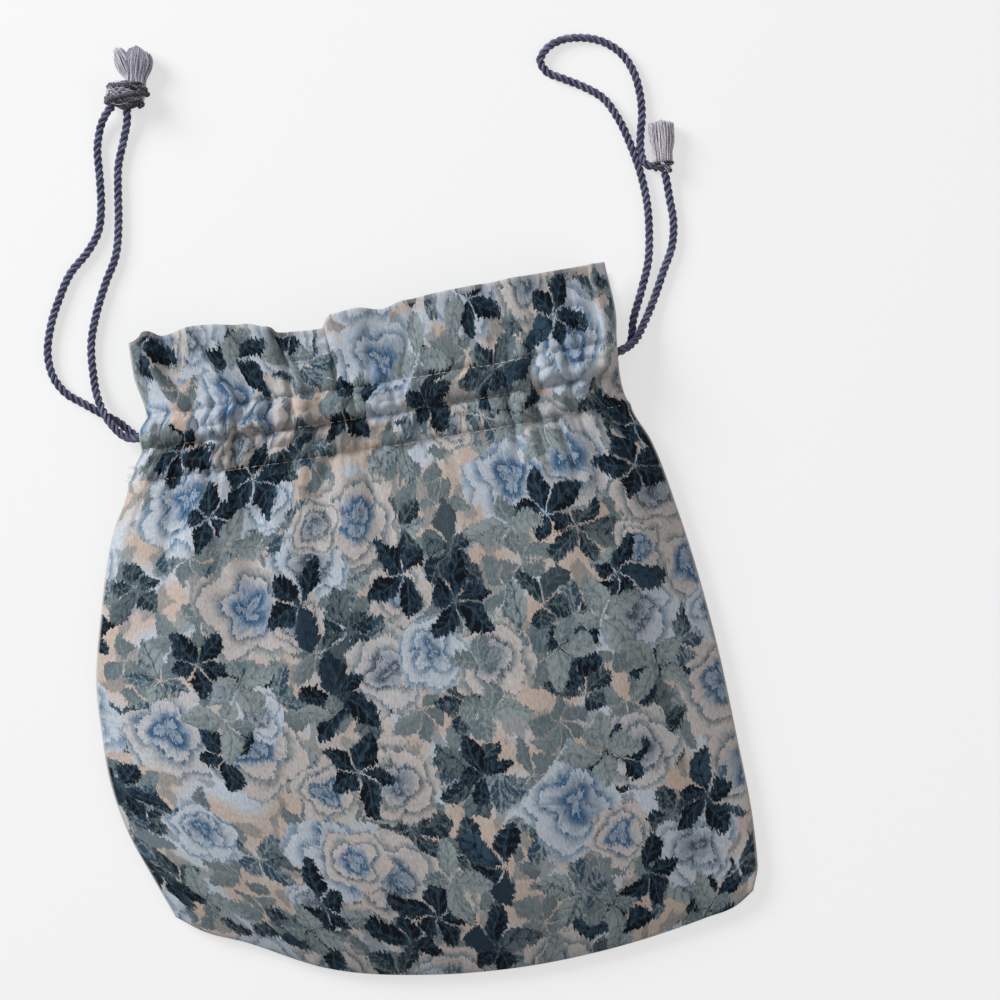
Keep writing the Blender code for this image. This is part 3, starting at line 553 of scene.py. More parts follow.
def panel(name, point, is_front, columns, header_rows, body_rows, lining_rows, material):
    """One panel as a single sheet: up the lining, over the fold at the mouth, and down the outside."""
    u = np.linspace(0, 1, columns)
    header = np.linspace(0, 3, header_rows)
    body = 3 + np.linspace(0, 1, body_rows + 1)[1:] ** BODY_SPREAD
    down = np.concatenate([header, body])
    lining = np.linspace(3, 0, lining_rows)
    grid = []
    cloth_y = []
    for stations, is_lining in ((lining, True), (down, False)):
        x, y, z = point(u[None, :], stations[:, None], is_lining)
        part = np.stack([x, y, z], axis=-1)
        if not is_lining:
            fold = mouth_fold(grid[-1], part[0])
            grid.extend(fold)
            cloth_y.extend([0.0] * len(fold))
        step = np.concatenate([[0], np.cumsum(np.abs(np.diff(station_length(stations))))])
        cloth_y.extend(step - step[-1] if is_lining else step)
        grid.extend(part)
    grid = np.array(grid)
    cloth_y = np.array(cloth_y)
    seam_from = len(grid) - body_rows
    grid, cloth_x = tuck_sides(grid, u, seam_from, is_front)
    grid, cloth_y = tuck_bottom(grid, cloth_y, is_front)
    rows, columns = grid.shape[:2]
    uv = grid_uv(cloth_x[None, :], -cloth_y[:, None], (rows, columns)) * PRINT_SCALE
    faces = grid_faces(rows, columns)
    if is_front:
        faces = faces[:, ::-1]
    made = mesh_object(name, grid.reshape(-1, 3), faces, material, uv.reshape(-1, 2))
    thick = made.modifiers.new("thickness", "SOLIDIFY")
    thick.thickness = FABRIC
    thick.offset = 0
    thick.use_even_offset = False
    return made


def station_length(stations):
    """Cloth length from the mouth to each station."""
    lengths = (0, FRILL, CHANNEL + CHANNEL_SLACK, HEM, BODY + BODY_SLACK)
    return np.interp(stations, range(len(lengths)), np.cumsum(lengths))


def mouth_fold(lining_row, outside_row):
    """Rows of points round the fold at the mouth, from the lining to the outside."""
    middle = (lining_row + outside_row) / 2
    half = (outside_row - lining_row) / 2
    reach = np.abs(half[:, 2]) + FOLD_REACH
    rows = []
    for angle in np.radians(FOLD_ANGLES):
        row = middle + half * math.sin(angle)
        row[:, 1] = row[:, 1] + reach * math.cos(angle)
        rows.append(row)
    return rows


# Steps by which a sewn or an open edge turns in: (out, towards the inside), and where they lie on the cloth
TUCK_SEWN = ((0.0002, 0.00032), (-0.0006, 0.00052))
TUCK_OPEN = ((0.00012, 0.00012), (0.0001, 0.0003))
TUCK_CLOTH = np.array((0.0005, 0.0012))
TUCK_ROWS = 3  # rows over which an open edge becomes a sewn one


def tuck_sides(grid, u, seam_from, is_front):
    """Adds two columns at each side that turn the edge in."""
    towards = -1 if is_front else 1
    rows = np.arange(len(grid))
    sewn = ease(seam_from - TUCK_ROWS, seam_from + TUCK_ROWS, rows)
    added = []
    for edge, out in ((grid[:, 0], -1), (grid[:, -1], 1)):
        for (across_sewn, drop_sewn), (across_open, drop_open) in zip(TUCK_SEWN, TUCK_OPEN):
            column = edge.copy()
            column[:, 0] += out * mix(across_open, across_sewn, sewn)
            column[:, 2] += towards * mix(drop_open, drop_sewn, sewn)
            added.append(column[:, None])
    whole = np.concatenate([added[1], added[0], grid, added[2], added[3]], axis=1)
    cloth_x = (u - 0.5) * CUT_WIDTH
    return whole, np.concatenate([cloth_x[0] - TUCK_CLOTH[::-1], cloth_x, cloth_x[-1] + TUCK_CLOTH])


def tuck_bottom(grid, cloth_y, is_front):
    """Adds two rows that turn the bottom edge in."""
    towards = -1 if is_front else 1
    rows = []
    for down, drop in TUCK_SEWN:
        row = grid[-1].copy()
        row[:, 1] -= down
        row[:, 2] += towards * drop
        rows.append(row[None])
    return np.concatenate([grid] + rows), np.append(cloth_y, cloth_y[-1] + TUCK_CLOTH)


def frames_along(points):
    """(tangents, normals, sides) carried along a line without twisting."""
    points = np.asarray(points, float)
    tangents = np.gradient(points, axis=0)
    tangents /= np.linalg.norm(tangents, axis=1)[:, None]
    normals = np.zeros_like(points)
    start = np.cross(tangents[0], (0, 0, 1.0))
    if np.linalg.norm(start) < 1e-3:
        start = np.cross(tangents[0], (1.0, 0, 0))
    normals[0] = start / np.linalg.norm(start)
    for i in range(1, len(points)):
        kept = normals[i - 1] - tangents[i] * (normals[i - 1] @ tangents[i])
        normals[i] = kept / np.linalg.norm(kept)
    return tangents, normals, np.cross(tangents, normals)


def tube_mesh(points, radius, sides):
    """(points, faces, uvs) of a tube with closed ends. radius is one number, or one for each point."""
    points = np.asarray(points, float)
    _, normals, across = frames_along(points)
    radius = np.broadcast_to(radius, len(points))
    angle = np.arange(sides) * 2 * np.pi / sides
    ring = (normals[:, None] * np.cos(angle)[None, :, None] + across[:, None] * np.sin(angle)[None, :, None])
    body = points[:, None] + ring * radius[:, None, None]
    along = distances(points)
    uv = grid_uv(angle / (2 * np.pi), along[:, None], body.shape[:2])
    return body.reshape(-1, 3), tube_faces(len(points), sides), uv.reshape(-1, 2)


def join(parts):
    """One (points, faces, uvs) from several."""
    points, faces, uvs, start = [], [], [], 0
    for p, f, uv in parts:
        points.append(p)
        faces += [tuple(i + start for i in face) for face in f]
        uvs.append(uv)
        start += len(p)
    return np.concatenate(points), faces, np.concatenate(uvs)


def joined_object(name, parts, material):
    points, faces, uvs = join(parts)
    return mesh_object(name, points, faces, material, uvs)


def rope_mesh(points, diameter, lead, phase=0.0, sides=8):
    """Three strands laid round each other along a line, as one closed skin with deep grooves between them."""
    points = np.asarray(points, float)
    _, normals, across = frames_along(points)
    strand = diameter / 2 / (1 + 2 / math.sqrt(3))
    offset = diameter / 2 - strand
    along = distances(points)
    local = np.linspace(-1, 1, sides, endpoint=False) * np.pi / STRANDS
    angles, reach, place = [], [], []
    for k in range(STRANDS):
        chord = np.maximum(strand ** 2 - (offset * np.sin(local)) ** 2, 0)
        reach.append(offset * np.cos(local) + np.sqrt(chord))
        angles.append(local + k * 2 * np.pi / STRANDS)
        place.append((local / np.pi * STRANDS + 1) / 2 + k)
    angle = np.concatenate(angles)[None, :] + (2 * np.pi * along / lead + phase)[:, None]
    ends = np.clip(np.minimum(along, along[-1] - along) / (diameter * 0.35), 0, 1)
    taper = np.sqrt(1 - (1 - ends) ** 2) * 0.75 + 0.25
    reach = np.concatenate(reach)[None, :] * taper[:, None]
    ring = normals[:, None] * np.cos(angle)[..., None] + across[:, None] * np.sin(angle)[..., None]
    body = points[:, None] + ring * reach[..., None]
    uv = grid_uv(np.concatenate(place), along[:, None], reach.shape)
    return body.reshape(-1, 3), tube_faces(len(points), sides * STRANDS), uv.reshape(-1, 2)


# Materials

def rgb(red, green, blue):
    """Linear colour from one written as a screen shows it, 0 to 255."""
    def linear(value):
        value /= 255
        return value / 12.92 if value <= 0.04045 else ((value + 0.055) / 1.055) ** 2.4
    return linear(red), linear(green), linear(blue), 1


def arithmetic(operation, is_swapped=False):
    """A method of Term that adds a node for an operation with another value."""
    def method(self, other):
        return self.net.math(operation, *((other, self) if is_swapped else (self, other)))
    return method


class Term:
    """One value in a material's nodes, with arithmetic that adds nodes."""

    def __init__(self, net, socket):
        self.net, self.socket = net, socket

    __add__, __radd__ = arithmetic("ADD"), arithmetic("ADD", True)
    __sub__, __rsub__ = arithmetic("SUBTRACT"), arithmetic("SUBTRACT", True)
    __mul__, __rmul__ = arithmetic("MULTIPLY"), arithmetic("MULTIPLY", True)
    __truediv__ = arithmetic("DIVIDE")


class Net:
    """A material's node tree, built by plain calls."""

    def __init__(self, name, roughness=0.8, sheen=0.0, specular=0.3):
        self.material = bpy.data.materials.new(name)
        self.material.use_nodes = True
        self.tree = self.material.node_tree
        self.shader = self.tree.nodes["Principled BSDF"]
        self.shader.inputs["Roughness"].default_value = roughness
        self.shader.inputs["Sheen Weight"].default_value = sheen
        self.shader.inputs["Specular IOR Level"].default_value = specular

    def plug(self, socket, value):
        if isinstance(value, Term):
            self.tree.links.new(value.socket, socket)
        elif socket.type == "RGBA" and isinstance(value, (int, float)):
            socket.default_value = (value, value, value, 1)
        else:
            socket.default_value = value

    def feed(self, made, inputs, out=0):
        """Fills a node's inputs from (socket, value) pairs and gives its output."""
        for socket, value in inputs:
            if value is not None:
                self.plug(made.inputs[socket], value)
        return Term(self, made.outputs[out])

    def math(self, operation, *values):
        made = self.tree.nodes.new("ShaderNodeMath")
        made.operation = operation
        return self.feed(made, enumerate(values))

    def vector(self, operation, a, b=None, scale=None, out=0):
        made = self.tree.nodes.new("ShaderNodeVectorMath")
        made.operation = operation
        return self.feed(made, ((0, a), (1, b), ("Scale", scale)), out)

    def uv(self):
        made = self.tree.nodes.new("ShaderNodeUVMap")
        made.uv_map = "cloth"
        return Term(self, made.outputs[0])

    def split(self, vector):
        made = self.tree.nodes.new("ShaderNodeSeparateXYZ")
        self.plug(made.inputs[0], vector)
        return [Term(self, socket) for socket in made.outputs]

    def point(self, x, y, z=0.0):
        return self.feed(self.tree.nodes.new("ShaderNodeCombineXYZ"), enumerate((x, y, z)))

    def noise(self, vector, scale, detail=2.0, roughness=0.5, colour=False):
        made = self.tree.nodes.new("ShaderNodeTexNoise")
        made.noise_dimensions = "2D"
        inputs = (("Vector", vector), ("Scale", scale), ("Detail", detail), ("Roughness", roughness))
        return self.feed(made, inputs, 1 if colour else 0)

    def cells(self, vector, scale, randomness=1.0):
        """(centre, three random numbers) of the cell that each point is in."""
        made = self.tree.nodes.new("ShaderNodeTexVoronoi")
        made.voronoi_dimensions = "2D"
        inputs = (("Vector", vector), ("Scale", scale), ("Randomness", randomness))
        return self.feed(made, inputs, "Position"), self.split(Term(self, made.outputs["Color"]))

    def chance(self, a, b):
        """A number from 0 to 1 that differs for each pair."""
        return self.math("FRACT", self.math("SINE", self.math("MULTIPLY_ADD", a, 12.99, b * 78.23)) * 437.58)

    def step(self, value, low, high):
        """0 below low, 1 above high, and smooth between."""
        made = self.tree.nodes.new("ShaderNodeMapRange")
        made.interpolation_type = "SMOOTHSTEP"
        return self.feed(made, (("Value", value), ("From Min", low), ("From Max", high)))

    def blend(self, share, below, above, kind="MIX"):
        """Colour between two colours."""
        made = self.tree.nodes.new("ShaderNodeMix")
        made.data_type = "RGBA"
        made.blend_type = kind
        return self.feed(made, ((0, share), (6, below), (7, above)), 2)

    def darker(self, colour, share):
        """Colour times a number."""
        return self.blend(1, colour, share, "MULTIPLY")

    def finish(self, colour, height, strength, distance):
        """The material, with its colour and its bumps."""
        self.plug(self.shader.inputs["Base Color"], colour)
        bump = (("Strength", strength), ("Distance", distance), ("Height", height))
        self.plug(self.shader.inputs["Normal"], self.feed(self.tree.nodes.new("ShaderNodeBump"), bump))
        return self.material


CREAM = rgb(187, 181, 177)
COOL_CREAM = rgb(182, 191, 200)
WARM_CREAM = rgb(186, 170, 158)
SAGE = rgb(94, 107, 111)
PALE_SAGE = rgb(140, 150, 151)
TEAL = rgb(50, 73, 89)
DARK_TEAL = rgb(24, 40, 51)
NIGHT = rgb(11, 18, 26)
BLUE = rgb(50, 88, 122)
PALE_BLUE = rgb(120, 144, 163)
SLATE = rgb(66, 78, 93)
ASH = rgb(118, 129, 132)

# Layers of the print, from below, in millimetres: size of a cell, seed, leaves in a spray, their length and
# half width, bare stalk at the middle, share of cells that have one, share of pale leaves, and colours
LEAVES_UNDER = (
    (29, 1, 6, 15.5, 5.2, 0.8, 0.98, 0.50, SAGE, ASH),
    (35, 4, 5, 17.0, 5.8, 0.8, 0.92, 0.40, TEAL, PALE_SAGE),
    (38, 6, 5, 18.0, 5.8, 0.4, 0.97, 0.15, DARK_TEAL, SAGE),
)
ROSES = ((46, 3, 22.0, 0.90), (37, 5, 14.0, 0.40))  # cell, seed, radius and share of cells that have one
LEAVES_OVER = (
    (44, 7, 5, 17.5, 6.0, 0.3, 0.94, 0.10, NIGHT, TEAL),
    (42, 9, 4, 16.0, 5.4, 0.5, 0.60, 0.70, SAGE, PALE_SAGE),
)
TWILL = 9.5  # radians of the weave to the millimetre
SEAM_HIGHLIGHT = 0.9  # width of the painted highlight along a seam, where the cloth turns in


def sprig(net, place, cell, seed, leaves, length, width, hub, keep):
    """A spray of leaves in each cell of the print, in millimetres.

    It gives a mask, and each point's place in its leaf: (across it, along it, how far inside its edge,
    chance).
    """
    moved = net.vector("ADD", place, (seed * 37.7, seed * 91.3, 0))
    centre, random = net.cells(moved, 1 / cell, 0.9)
    local = net.vector("SUBTRACT", moved, centre)
    x, y, _ = net.split(local)
    share = 2 * math.pi / leaves
    sector = net.math("MULTIPLY_ADD", net.math("ARCTAN2", y, x), 1 / share, random[0] * leaves + 0.001)
    index = net.math("FLOORED_MODULO", net.math("FLOOR", sector), float(leaves))
    chance = net.chance(index, random[1])
    other = net.math("FRACT", chance * 7.31)
    turned = net.math("MULTIPLY_ADD", net.math("FRACT", sector), share, -share / 2)
    far = net.vector("LENGTH", local, out=1)
    apart = net.step((share / 2 - net.math("ABSOLUTE", turned)) * far, 0.10, 0.55)
    turned = turned + (other - 0.5) * 0.30
    grow = 0.62 + 0.62 * chance
    along = (far * net.math("COSINE", turned) - hub) / (length * grow)
    across = far * net.math("SINE", turned) / (width * (0.7 + 0.3 * grow))
    body = net.math("MAXIMUM", along * (1 - along) * 4, 0.0)
    half = net.math("POWER", body, 0.66) * (1.12 - 0.42 * along)
    tooth = net.math("FRACT", along * 6.0 - net.math("ABSOLUTE", across) * 0.6)
    edge = half - net.math("ABSOLUTE", across) - 0.20 * tooth
    shown = net.math("GREATER_THAN", random[2], 1 - keep) * net.math("GREATER_THAN", other, 0.14)
    mask = net.step(edge, 0.0, 0.07) * shown * apart
    return mask, (across, along, edge, chance)


def print_leaves(net, colour, place, fibre, layers):
    """The print with layers of leaves over it."""
    for cell, seed, leaves, length, width, hub, keep, pale, base, light in layers:
        mask, leaf = sprig(net, place, cell, seed, leaves, length, width, hub, keep)
        colour = net.blend(mask, colour, leaf_colour(net, leaf, pale, base, light, fibre))
    return colour


def leaf_colour(net, leaf, pale_share, base, light, fibre):
    """A leaf's colour: some leaves are pale with dark veins and the others dark with pale ones."""
    across, along, inside, chance = leaf
    pale = net.step(chance, 1 - pale_share, 1.06 - pale_share)
    body = net.blend(pale, base, light)
    marks = net.blend(pale, light, base)
    side = net.math("ABSOLUTE", across)
    rib = 1 - net.step(side, 0.03, 0.12)
    vein = net.math("ABSOLUTE", net.math("FRACT", along * 4.2 - side * 1.3 + fibre * 0.3) - 0.5)
    veins = (1 - net.step(vein, 0.05, 0.19)) * net.step(inside, 0.0, 0.2)
    shade = net.step(across, -0.05, 0.40) * net.step(fibre, 0.36, 0.60)
    rim = (1 - net.step(inside, 0.05, 0.24)) * net.step(across, -0.3, 0.2)
    return net.blend(rib * 0.6 + veins * 0.5 + shade * 0.45 + rim * 0.5, body, marks)


def rose(net, place, cell, seed, radius, keep, fibre):
    """A rose in each cell of the print: (mask, colour)."""
    moved = net.vector("ADD", place, (seed * 53.1, seed * 17.9, 0))
    centre, random = net.cells(moved, 1 / cell, 0.75)
    local = net.vector("SUBTRACT", moved, centre)
    x, y, _ = net.split(local)
    angle = net.math("ARCTAN2", y, x)
    length = net.vector("LENGTH", local, out=1)
    far = length / (radius * (0.80 + 0.35 * random[1]))
    spokes = net.vector("SCALE", local, scale=net.math("DIVIDE", 5.5, net.math("MAXIMUM", length, 0.5)))
    spokes = net.vector("ADD", spokes, net.point(far * 1.7, random[1] * 40))
    brush = net.noise(spokes, 1.0, 1.0, 0.7)
    lobes = net.math("ABSOLUTE", net.math("SINE", angle * 2.5 + random[2] * 6))
    rim = 0.80 + 0.20 * lobes + (fibre - 0.5) * 0.16 + (brush - 0.5) * 0.14
    mask = net.step(rim - far, 0.0, 0.04) * net.math("GREATER_THAN", random[2], 1 - keep)
    # petals overlap in rings: each is shaded where it comes out from under the next and pale at its rim
    level = far * 3.0 + (brush - 0.5) * 0.45 + random[1]
    ring = net.math("FLOOR", level)
    scallop = net.math("ABSOLUTE", net.math("SINE", angle * (1.0 + 0.5 * ring) + ring * 1.7 + random[0] * 9))
    petal = net.step(net.math("FRACT", level - scallop * 0.55), 0.02, 0.62)
    heart = net.step(far + (brush - 0.5) * 0.60, 0.28, 0.50)
    tint = net.step(random[1], 0.30, 0.50)
    cool = net.step(random[0], 0.35, 0.65)
    shade = net.blend(tint, SLATE, BLUE)
    streak = net.step(brush, 0.50, 0.64) * net.step(far, 1.1, 0.35)
    outer = net.blend(petal, net.blend(cool, ASH, PALE_BLUE), net.blend(cool, CREAM, COOL_CREAM))
    outer = net.blend(streak * (1.15 - petal) * 0.9, outer, shade)
    outer = net.blend(net.step(fibre, 0.50, 0.66) * 0.35, outer, WARM_CREAM)
    inner = net.blend(petal * 0.55, shade, COOL_CREAM)
    inner = net.blend(streak * 0.8, inner, net.blend(0.45, shade, DARK_TEAL))
    return mask, net.blend(heart, inner, outer)


def printed_cotton(name):
    """Cotton twill printed with roses and leaves in cream, sage, teal and navy, laid out by chance."""
    net = Net(name, roughness=0.88, sheen=0.03, specular=0.12)
    uv = net.uv()
    flat = net.vector("SCALE", uv, scale=1000 / PRINT_SCALE)
    x, y, _ = net.split(flat)
    # brush marks: edges wander, and are dragged a little along the cloth
    wander = net.noise(flat, 0.10, 0.0, colour=True)
    wander = net.vector("SCALE", net.vector("SUBTRACT", wander, (0.5, 0.5, 0.5)), scale=5.0)
    marks = net.noise(net.point(x * 1.1, y * 0.48), 1.0, 1.0, 0.65, colour=True)
    streak = net.split(marks)[2]
    ragged = net.vector("MULTIPLY", net.vector("SUBTRACT", marks, (0.5, 0.5, 0.5)), (1.4, 3.6, 0.0))
    place = net.vector("ADD", net.vector("ADD", flat, wander), ragged)
    fibre = net.noise(net.point(x * 0.85, y * 0.30), 1.0, 2.0, 0.7)
    cloud = net.noise(flat, 0.045, 0.0)

    colour = net.blend(net.step(cloud, 0.42, 0.60), WARM_CREAM, CREAM)
    colour = net.blend(net.step(cloud, 0.56, 0.70), colour, COOL_CREAM)
    blot = net.noise(place, 0.085, 1.0, 0.62)
    mottled = net.blend(net.step(fibre, 0.4, 0.6), SAGE, ASH)
    colour = net.blend(net.step(blot, 0.53, 0.58) * 0.6, colour, mottled)
    colour = print_leaves(net, colour, place, fibre, LEAVES_UNDER)
    for cell, seed, radius, keep in ROSES:
        mask, petals = rose(net, place, cell, seed, radius, keep, fibre)
        colour = net.blend(mask, colour, petals)
    colour = print_leaves(net, colour, place, fibre, LEAVES_OVER)
    grain = net.noise(flat, 3.2, 0.0)
    colour = net.darker(colour, 0.62 + streak * 0.50 + grain * 0.20)
    # painted highlight: a pale band along the side seams, where the cloth turns in
    seam = net.step(net.math("ABSOLUTE", x), 1000 * CUT_WIDTH / 2 - SEAM_HIGHLIGHT, 1000 * CUT_WIDTH / 2)
    # painted highlight: a faint pale line along the fold at the mouth
    mouth = 1 - net.step(net.math("ABSOLUTE", y), 0.2, 1.1)
    colour = net.blend(seam * 0.75, net.blend(mouth * 0.3, colour, CREAM), CREAM)
    twill = net.math("SINE", (x + y) * TWILL)
    height = twill * 0.5 + grain
    return net.finish(colour, height, strength=0.35, distance=0.00012)


def cord_yarn(name, base, light, dark):
    """Twisted cord: fine yarns lie along each strand, and painted shade darkens the grooves between the
    strands.
    """
    net = Net(name, roughness=0.62, sheen=0.15, specular=0.35)
    place, along, _ = net.split(net.uv())
    across = net.math("ABSOLUTE", net.math("FRACT", place) - 0.5) * 2
    yarn = net.math("SINE", place * 30 - along * 9000)
    patchy = net.noise(net.point(place * 0.8, along * 260), 1.0, 3.0, 0.6)
    colour = net.blend(net.step(patchy, 0.35, 0.7), base, light)
    colour = net.blend(net.step(yarn, -1.0, 1.0) * 0.45, colour, dark)
    # painted shade: darker towards each strand's edges, in the grooves between the strands
    colour = net.blend(net.step(across, 0.55, 1.0) * 0.85, colour, dark)
    return net.finish(colour, yarn * 0.5 + patchy, strength=0.5, distance=0.00018)


def fibre_yarn(name, base, light, dark):
    """Loose yarn, streaked along its length."""
    net = Net(name, roughness=0.8, sheen=0.3, specular=0.2)
    place, along, _ = net.split(net.uv())
    streak = net.noise(net.point(place * 7, along * 120), 1.0, 3.0, 0.6)
    colour = net.blend(net.step(streak, 0.3, 0.7), base, light)
    colour = net.blend(net.step(net.noise(net.point(place * 2, along * 40), 1.0), 0.5, 0.75), colour, dark)
    return net.finish(colour, streak, strength=0.4, distance=0.0001)


def plain(name, colour, roughness=0.8):
    net = Net(name, roughness=roughness)
    speck = net.noise(net.vector("SCALE", net.uv(), scale=900), 1.0, 2.0)
    return net.finish(net.darker(colour, 0.85 + speck * 0.3), speck, strength=0.2, distance=0.0001)


# Cords

FREE_STEP = 0.0008  # spacing of the rings along a free strand and along the hidden run
HIDDEN_STEP = 0.0012


def turn_place(side):
    inset = TURN_INSET / (HEADER_LEFT + HEADER_RIGHT)
    return inset if side < 0 else 1 - inset


def channel_line(side, is_front):
    """Centre line of a cord inside a channel, from its own side to where it turns back."""
    ends = (0.0, turn_place(1)) if side < 0 else (1.0, turn_place(-1))
    u = np.linspace(*ends, 40)
    x, y = plan(u, 1.5)
    y = y + side * (CORD + CORD_PLAY) / 2
    z = front_middle(u, 1.5) if is_front else np.full_like(x, BACK_CORD_Z)
    return np.stack([x, y, z], axis=1)


def cord_lines(side):
    """(free strand of the front channel, hidden run, free strand of the back channel), each as points."""
    front, back = (LEFT_FRONT_ROUTE, LEFT_BACK_ROUTE) if side < 0 else (RIGHT_FRONT_ROUTE, RIGHT_BACK_ROUTE)
    over, under = channel_line(side, True), channel_line(side, False)[::-1]
    middle, radius = (over[-1] + under[0]) / 2, (over[-1][2] - under[0][2]) / 2
    angles = [math.pi * (0.5 - k / (TURN_POINTS + 1)) for k in range(1, TURN_POINTS + 1)]
    bend = [middle + np.array((-side * math.cos(a), 0, math.sin(a))) * radius for a in angles]
    outer, inner = (np.array(route) * MILLI + (0, 0, CORD_REST) for route in (front, back))
    run = even_line(np.concatenate([over, bend, under]), 0.002)
    knot = np.array((*(KNOT_LEFT_AT if side < 0 else KNOT_RIGHT_AT), CORD_REST * 1.5))
    strands = []
    for start, route in ((over[0], outer), (under[-1], inner)):
        way = knot - route[-1]
        tied = route[-1] + way / np.linalg.norm(way) * KNOT_LEAD
        points = even_line(np.concatenate([[start], route, [tied]]), FREE_STEP)
        points[:, 2] = np.maximum(points[:, 2], CORD_REST)
        strands.append(points)
    return strands[0], even_line(run, HIDDEN_STEP), strands[1]


def make_cord(side, name, material):
    front, run, back = cord_lines(side)
    pieces = []
    for part, points, phase in (("front", front, 0.4), ("channel", run, 1.1), ("back", back, 2.0)):
        mesh = rope_mesh(points, CORD, CORD_LEAD, phase)
        piece = mesh_object(f"{name}_{part}", mesh[0], mesh[1], material, mesh[2])
        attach(piece, "root")
        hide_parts(name)
        pieces.append(piece)
    return pieces


# Knots and tassels

BRUSH_START = -1.3  # a tuft's threads start inside the knot, in half lengths from the tuft's middle
THREAD_HALVES = (0.00012, 0.00021)  # thinnest and thickest radius of a tuft's thread
CORE_LUMPS = 0.05
CORE_GRID = (25, 40)


def turned(place, degrees, local):
    """Points of a piece in the row frame, from its own: across, along and up."""
    a = math.radians(degrees)
    local = np.asarray(local, float)
    x = local[..., 0] * math.cos(a) - local[..., 1] * math.sin(a)
    y = local[..., 0] * math.sin(a) + local[..., 1] * math.cos(a)
    return np.stack([place[0] + x, place[1] + y, local[..., 2]], axis=-1)


def on_knot(half, along, angle, lift):
    """Point on a knot: along it from -1 to 1, and round it in radians from its right side, over the top."""
    girth = np.sqrt(np.maximum(1 - np.asarray(along) ** 2, 0.02))
    x = (half[0] + lift) * girth * np.cos(angle)
    z = half[2] + (half[2] + lift) * girth * np.sin(angle)
    return np.stack([x, along * (half[1] + lift), np.maximum(z, lift + 0.0001)], axis=-1)


def knot_core(name, half, place, material):
    """The knot's body: an egg of uneven lumps."""
    rings, sides = CORE_GRID
    along = np.cos(np.linspace(np.pi, 0, rings))[:, None]
    angle = np.linspace(0, 2 * np.pi, sides, endpoint=False)[None, :]
    lump = CORE_LUMPS * half[2] * (np.sin(3 * angle + 4 * along) + 0.6 * np.sin(5 * angle - 7 * along))
    body = on_knot(half, along * np.ones_like(angle), angle * np.ones_like(along), lump - 0.0005)
    uv = grid_uv(angle / 6.283, along * half[1], lump.shape)
    points = turned(place, KNOT_TURN, body).reshape(-1, 3)
    return mesh_object(name, points, tube_faces(rings, sides), material, uv.reshape(-1, 2))


def knot_turns(name, half, place, bands, yarn, lead, material):
    """Strands round the knot. A band is (start along, end along, start angle, end angle, lift)."""
    parts = []
    for k, (start, end, first, last, lift) in enumerate(bands):
        t = np.linspace(0, 1, 60)
        along = mix(start, end, t) + 0.05 * np.sin(t * 7 + k)
        line = on_knot(half, along, np.radians(mix(first, last, t)), lift + yarn * 0.25)
        line = even_line(turned(place, KNOT_TURN, line), 0.0005)
        parts.append(rope_mesh(line, yarn * 2, lead, k * 1.3, sides=6))
    return joined_object(name, parts, material)


def loose_threads(name, half, place, count, reach, radius, seed, material):
    """Thin threads that cross the knot at all angles."""
    rng = np.random.default_rng(seed)
    parts = []
    for _ in range(count):
        start, end = rng.uniform(-0.75, 0.75, 2)
        first = rng.uniform(20, 150)
        last = min(max(first + rng.choice((-1, 1)) * rng.uniform(*reach), 12), 165)
        t = np.linspace(0, 1, 16)
        bend = rng.uniform(-0.25, 0.25) * np.sin(np.pi * t)
        lift = 0.0002 + rng.uniform(0, 0.0004) + 0.0003 * np.sin(np.pi * t)
        along = np.clip(mix(start, end, t) + bend, -0.95, 0.95)
        line = on_knot(half, along, np.radians(mix(first, last, t)), lift)
        parts.append(tube_mesh(turned(place, KNOT_TURN, line), radius * rng.uniform(0.8, 1.3), 5))
    return joined_object(name, parts, material)


def tuft_place(half, on_knot_at, knot_half, knot_at):
    across, turn = on_knot_at
    seat = knot_half[1] * math.sqrt(1 - (across / knot_half[0]) ** 2) + TUFT_GAP
    a = math.radians(turn)
    return (knot_at[0] + across - half[1] * math.sin(a), knot_at[1] + seat + half[1] * math.cos(a)), turn


def brush(name, half, at, count, seed, material, peak=0.0, cut=0.12, ragged=0.12, fold=0.0,
          neck=TUFT_NECK, tip=1.0):
    """Tuft of frayed yarn.

    Its width falls to neck at the knot and to tip at its end. The end is highest at peak and falls off by
    cut, and fold opens a slit between its halves, as in a loop.
    """
    place, turn = at
    rng = np.random.default_rng(seed)
    parts = []
    t = np.linspace(0, 1, 9)
    for _ in range(count):
        spread = math.sqrt(rng.uniform(0, 1))
        a = rng.uniform(0, 2 * math.pi)
        across, up = spread * math.cos(a), spread * math.sin(a)
        end = 0.98 - cut * abs(across - peak) - ragged * rng.uniform(0, 1) ** 2
        along = mix(BRUSH_START, end, t)
        full = mix(neck, 1, ease(-1, 0.1, along)) * mix(1, tip, ease(0.1, 1, along))
        side = across * full
        if fold:
            bow = math.copysign(1, across) * (0.22 + 0.78 * abs(across))
            side = bow * np.sin(np.pi * np.clip(t * 0.94 + 0.03, 0, 1)) ** 0.8
            side = mix(across * full, side, fold)
        wave = rng.uniform(-1, 1, 2) * 0.07
        side = side + wave[0] * np.sin(t * rng.uniform(4, 10) + a) * ease(-1, -0.4, along)
        rise = 1 + np.clip(up * full + wave[1] * np.sin(t * 6 + a), -0.97, 1)
        line = np.stack([half[0] * side, half[1] * along, half[2] * rise + 0.0001], axis=-1)
        radius = rng.uniform(*THREAD_HALVES) * np.linspace(1.1, 0.75, len(t))
        parts.append(tube_mesh(turned(place, turn, line), radius, 5))
    points, faces, uvs = join(parts)
    uvs = uvs + np.repeat(rng.uniform(0, 9, (count, 1)), len(points) // count, axis=0) * (1, 0)
    return mesh_object(name, points, faces, material, uvs)


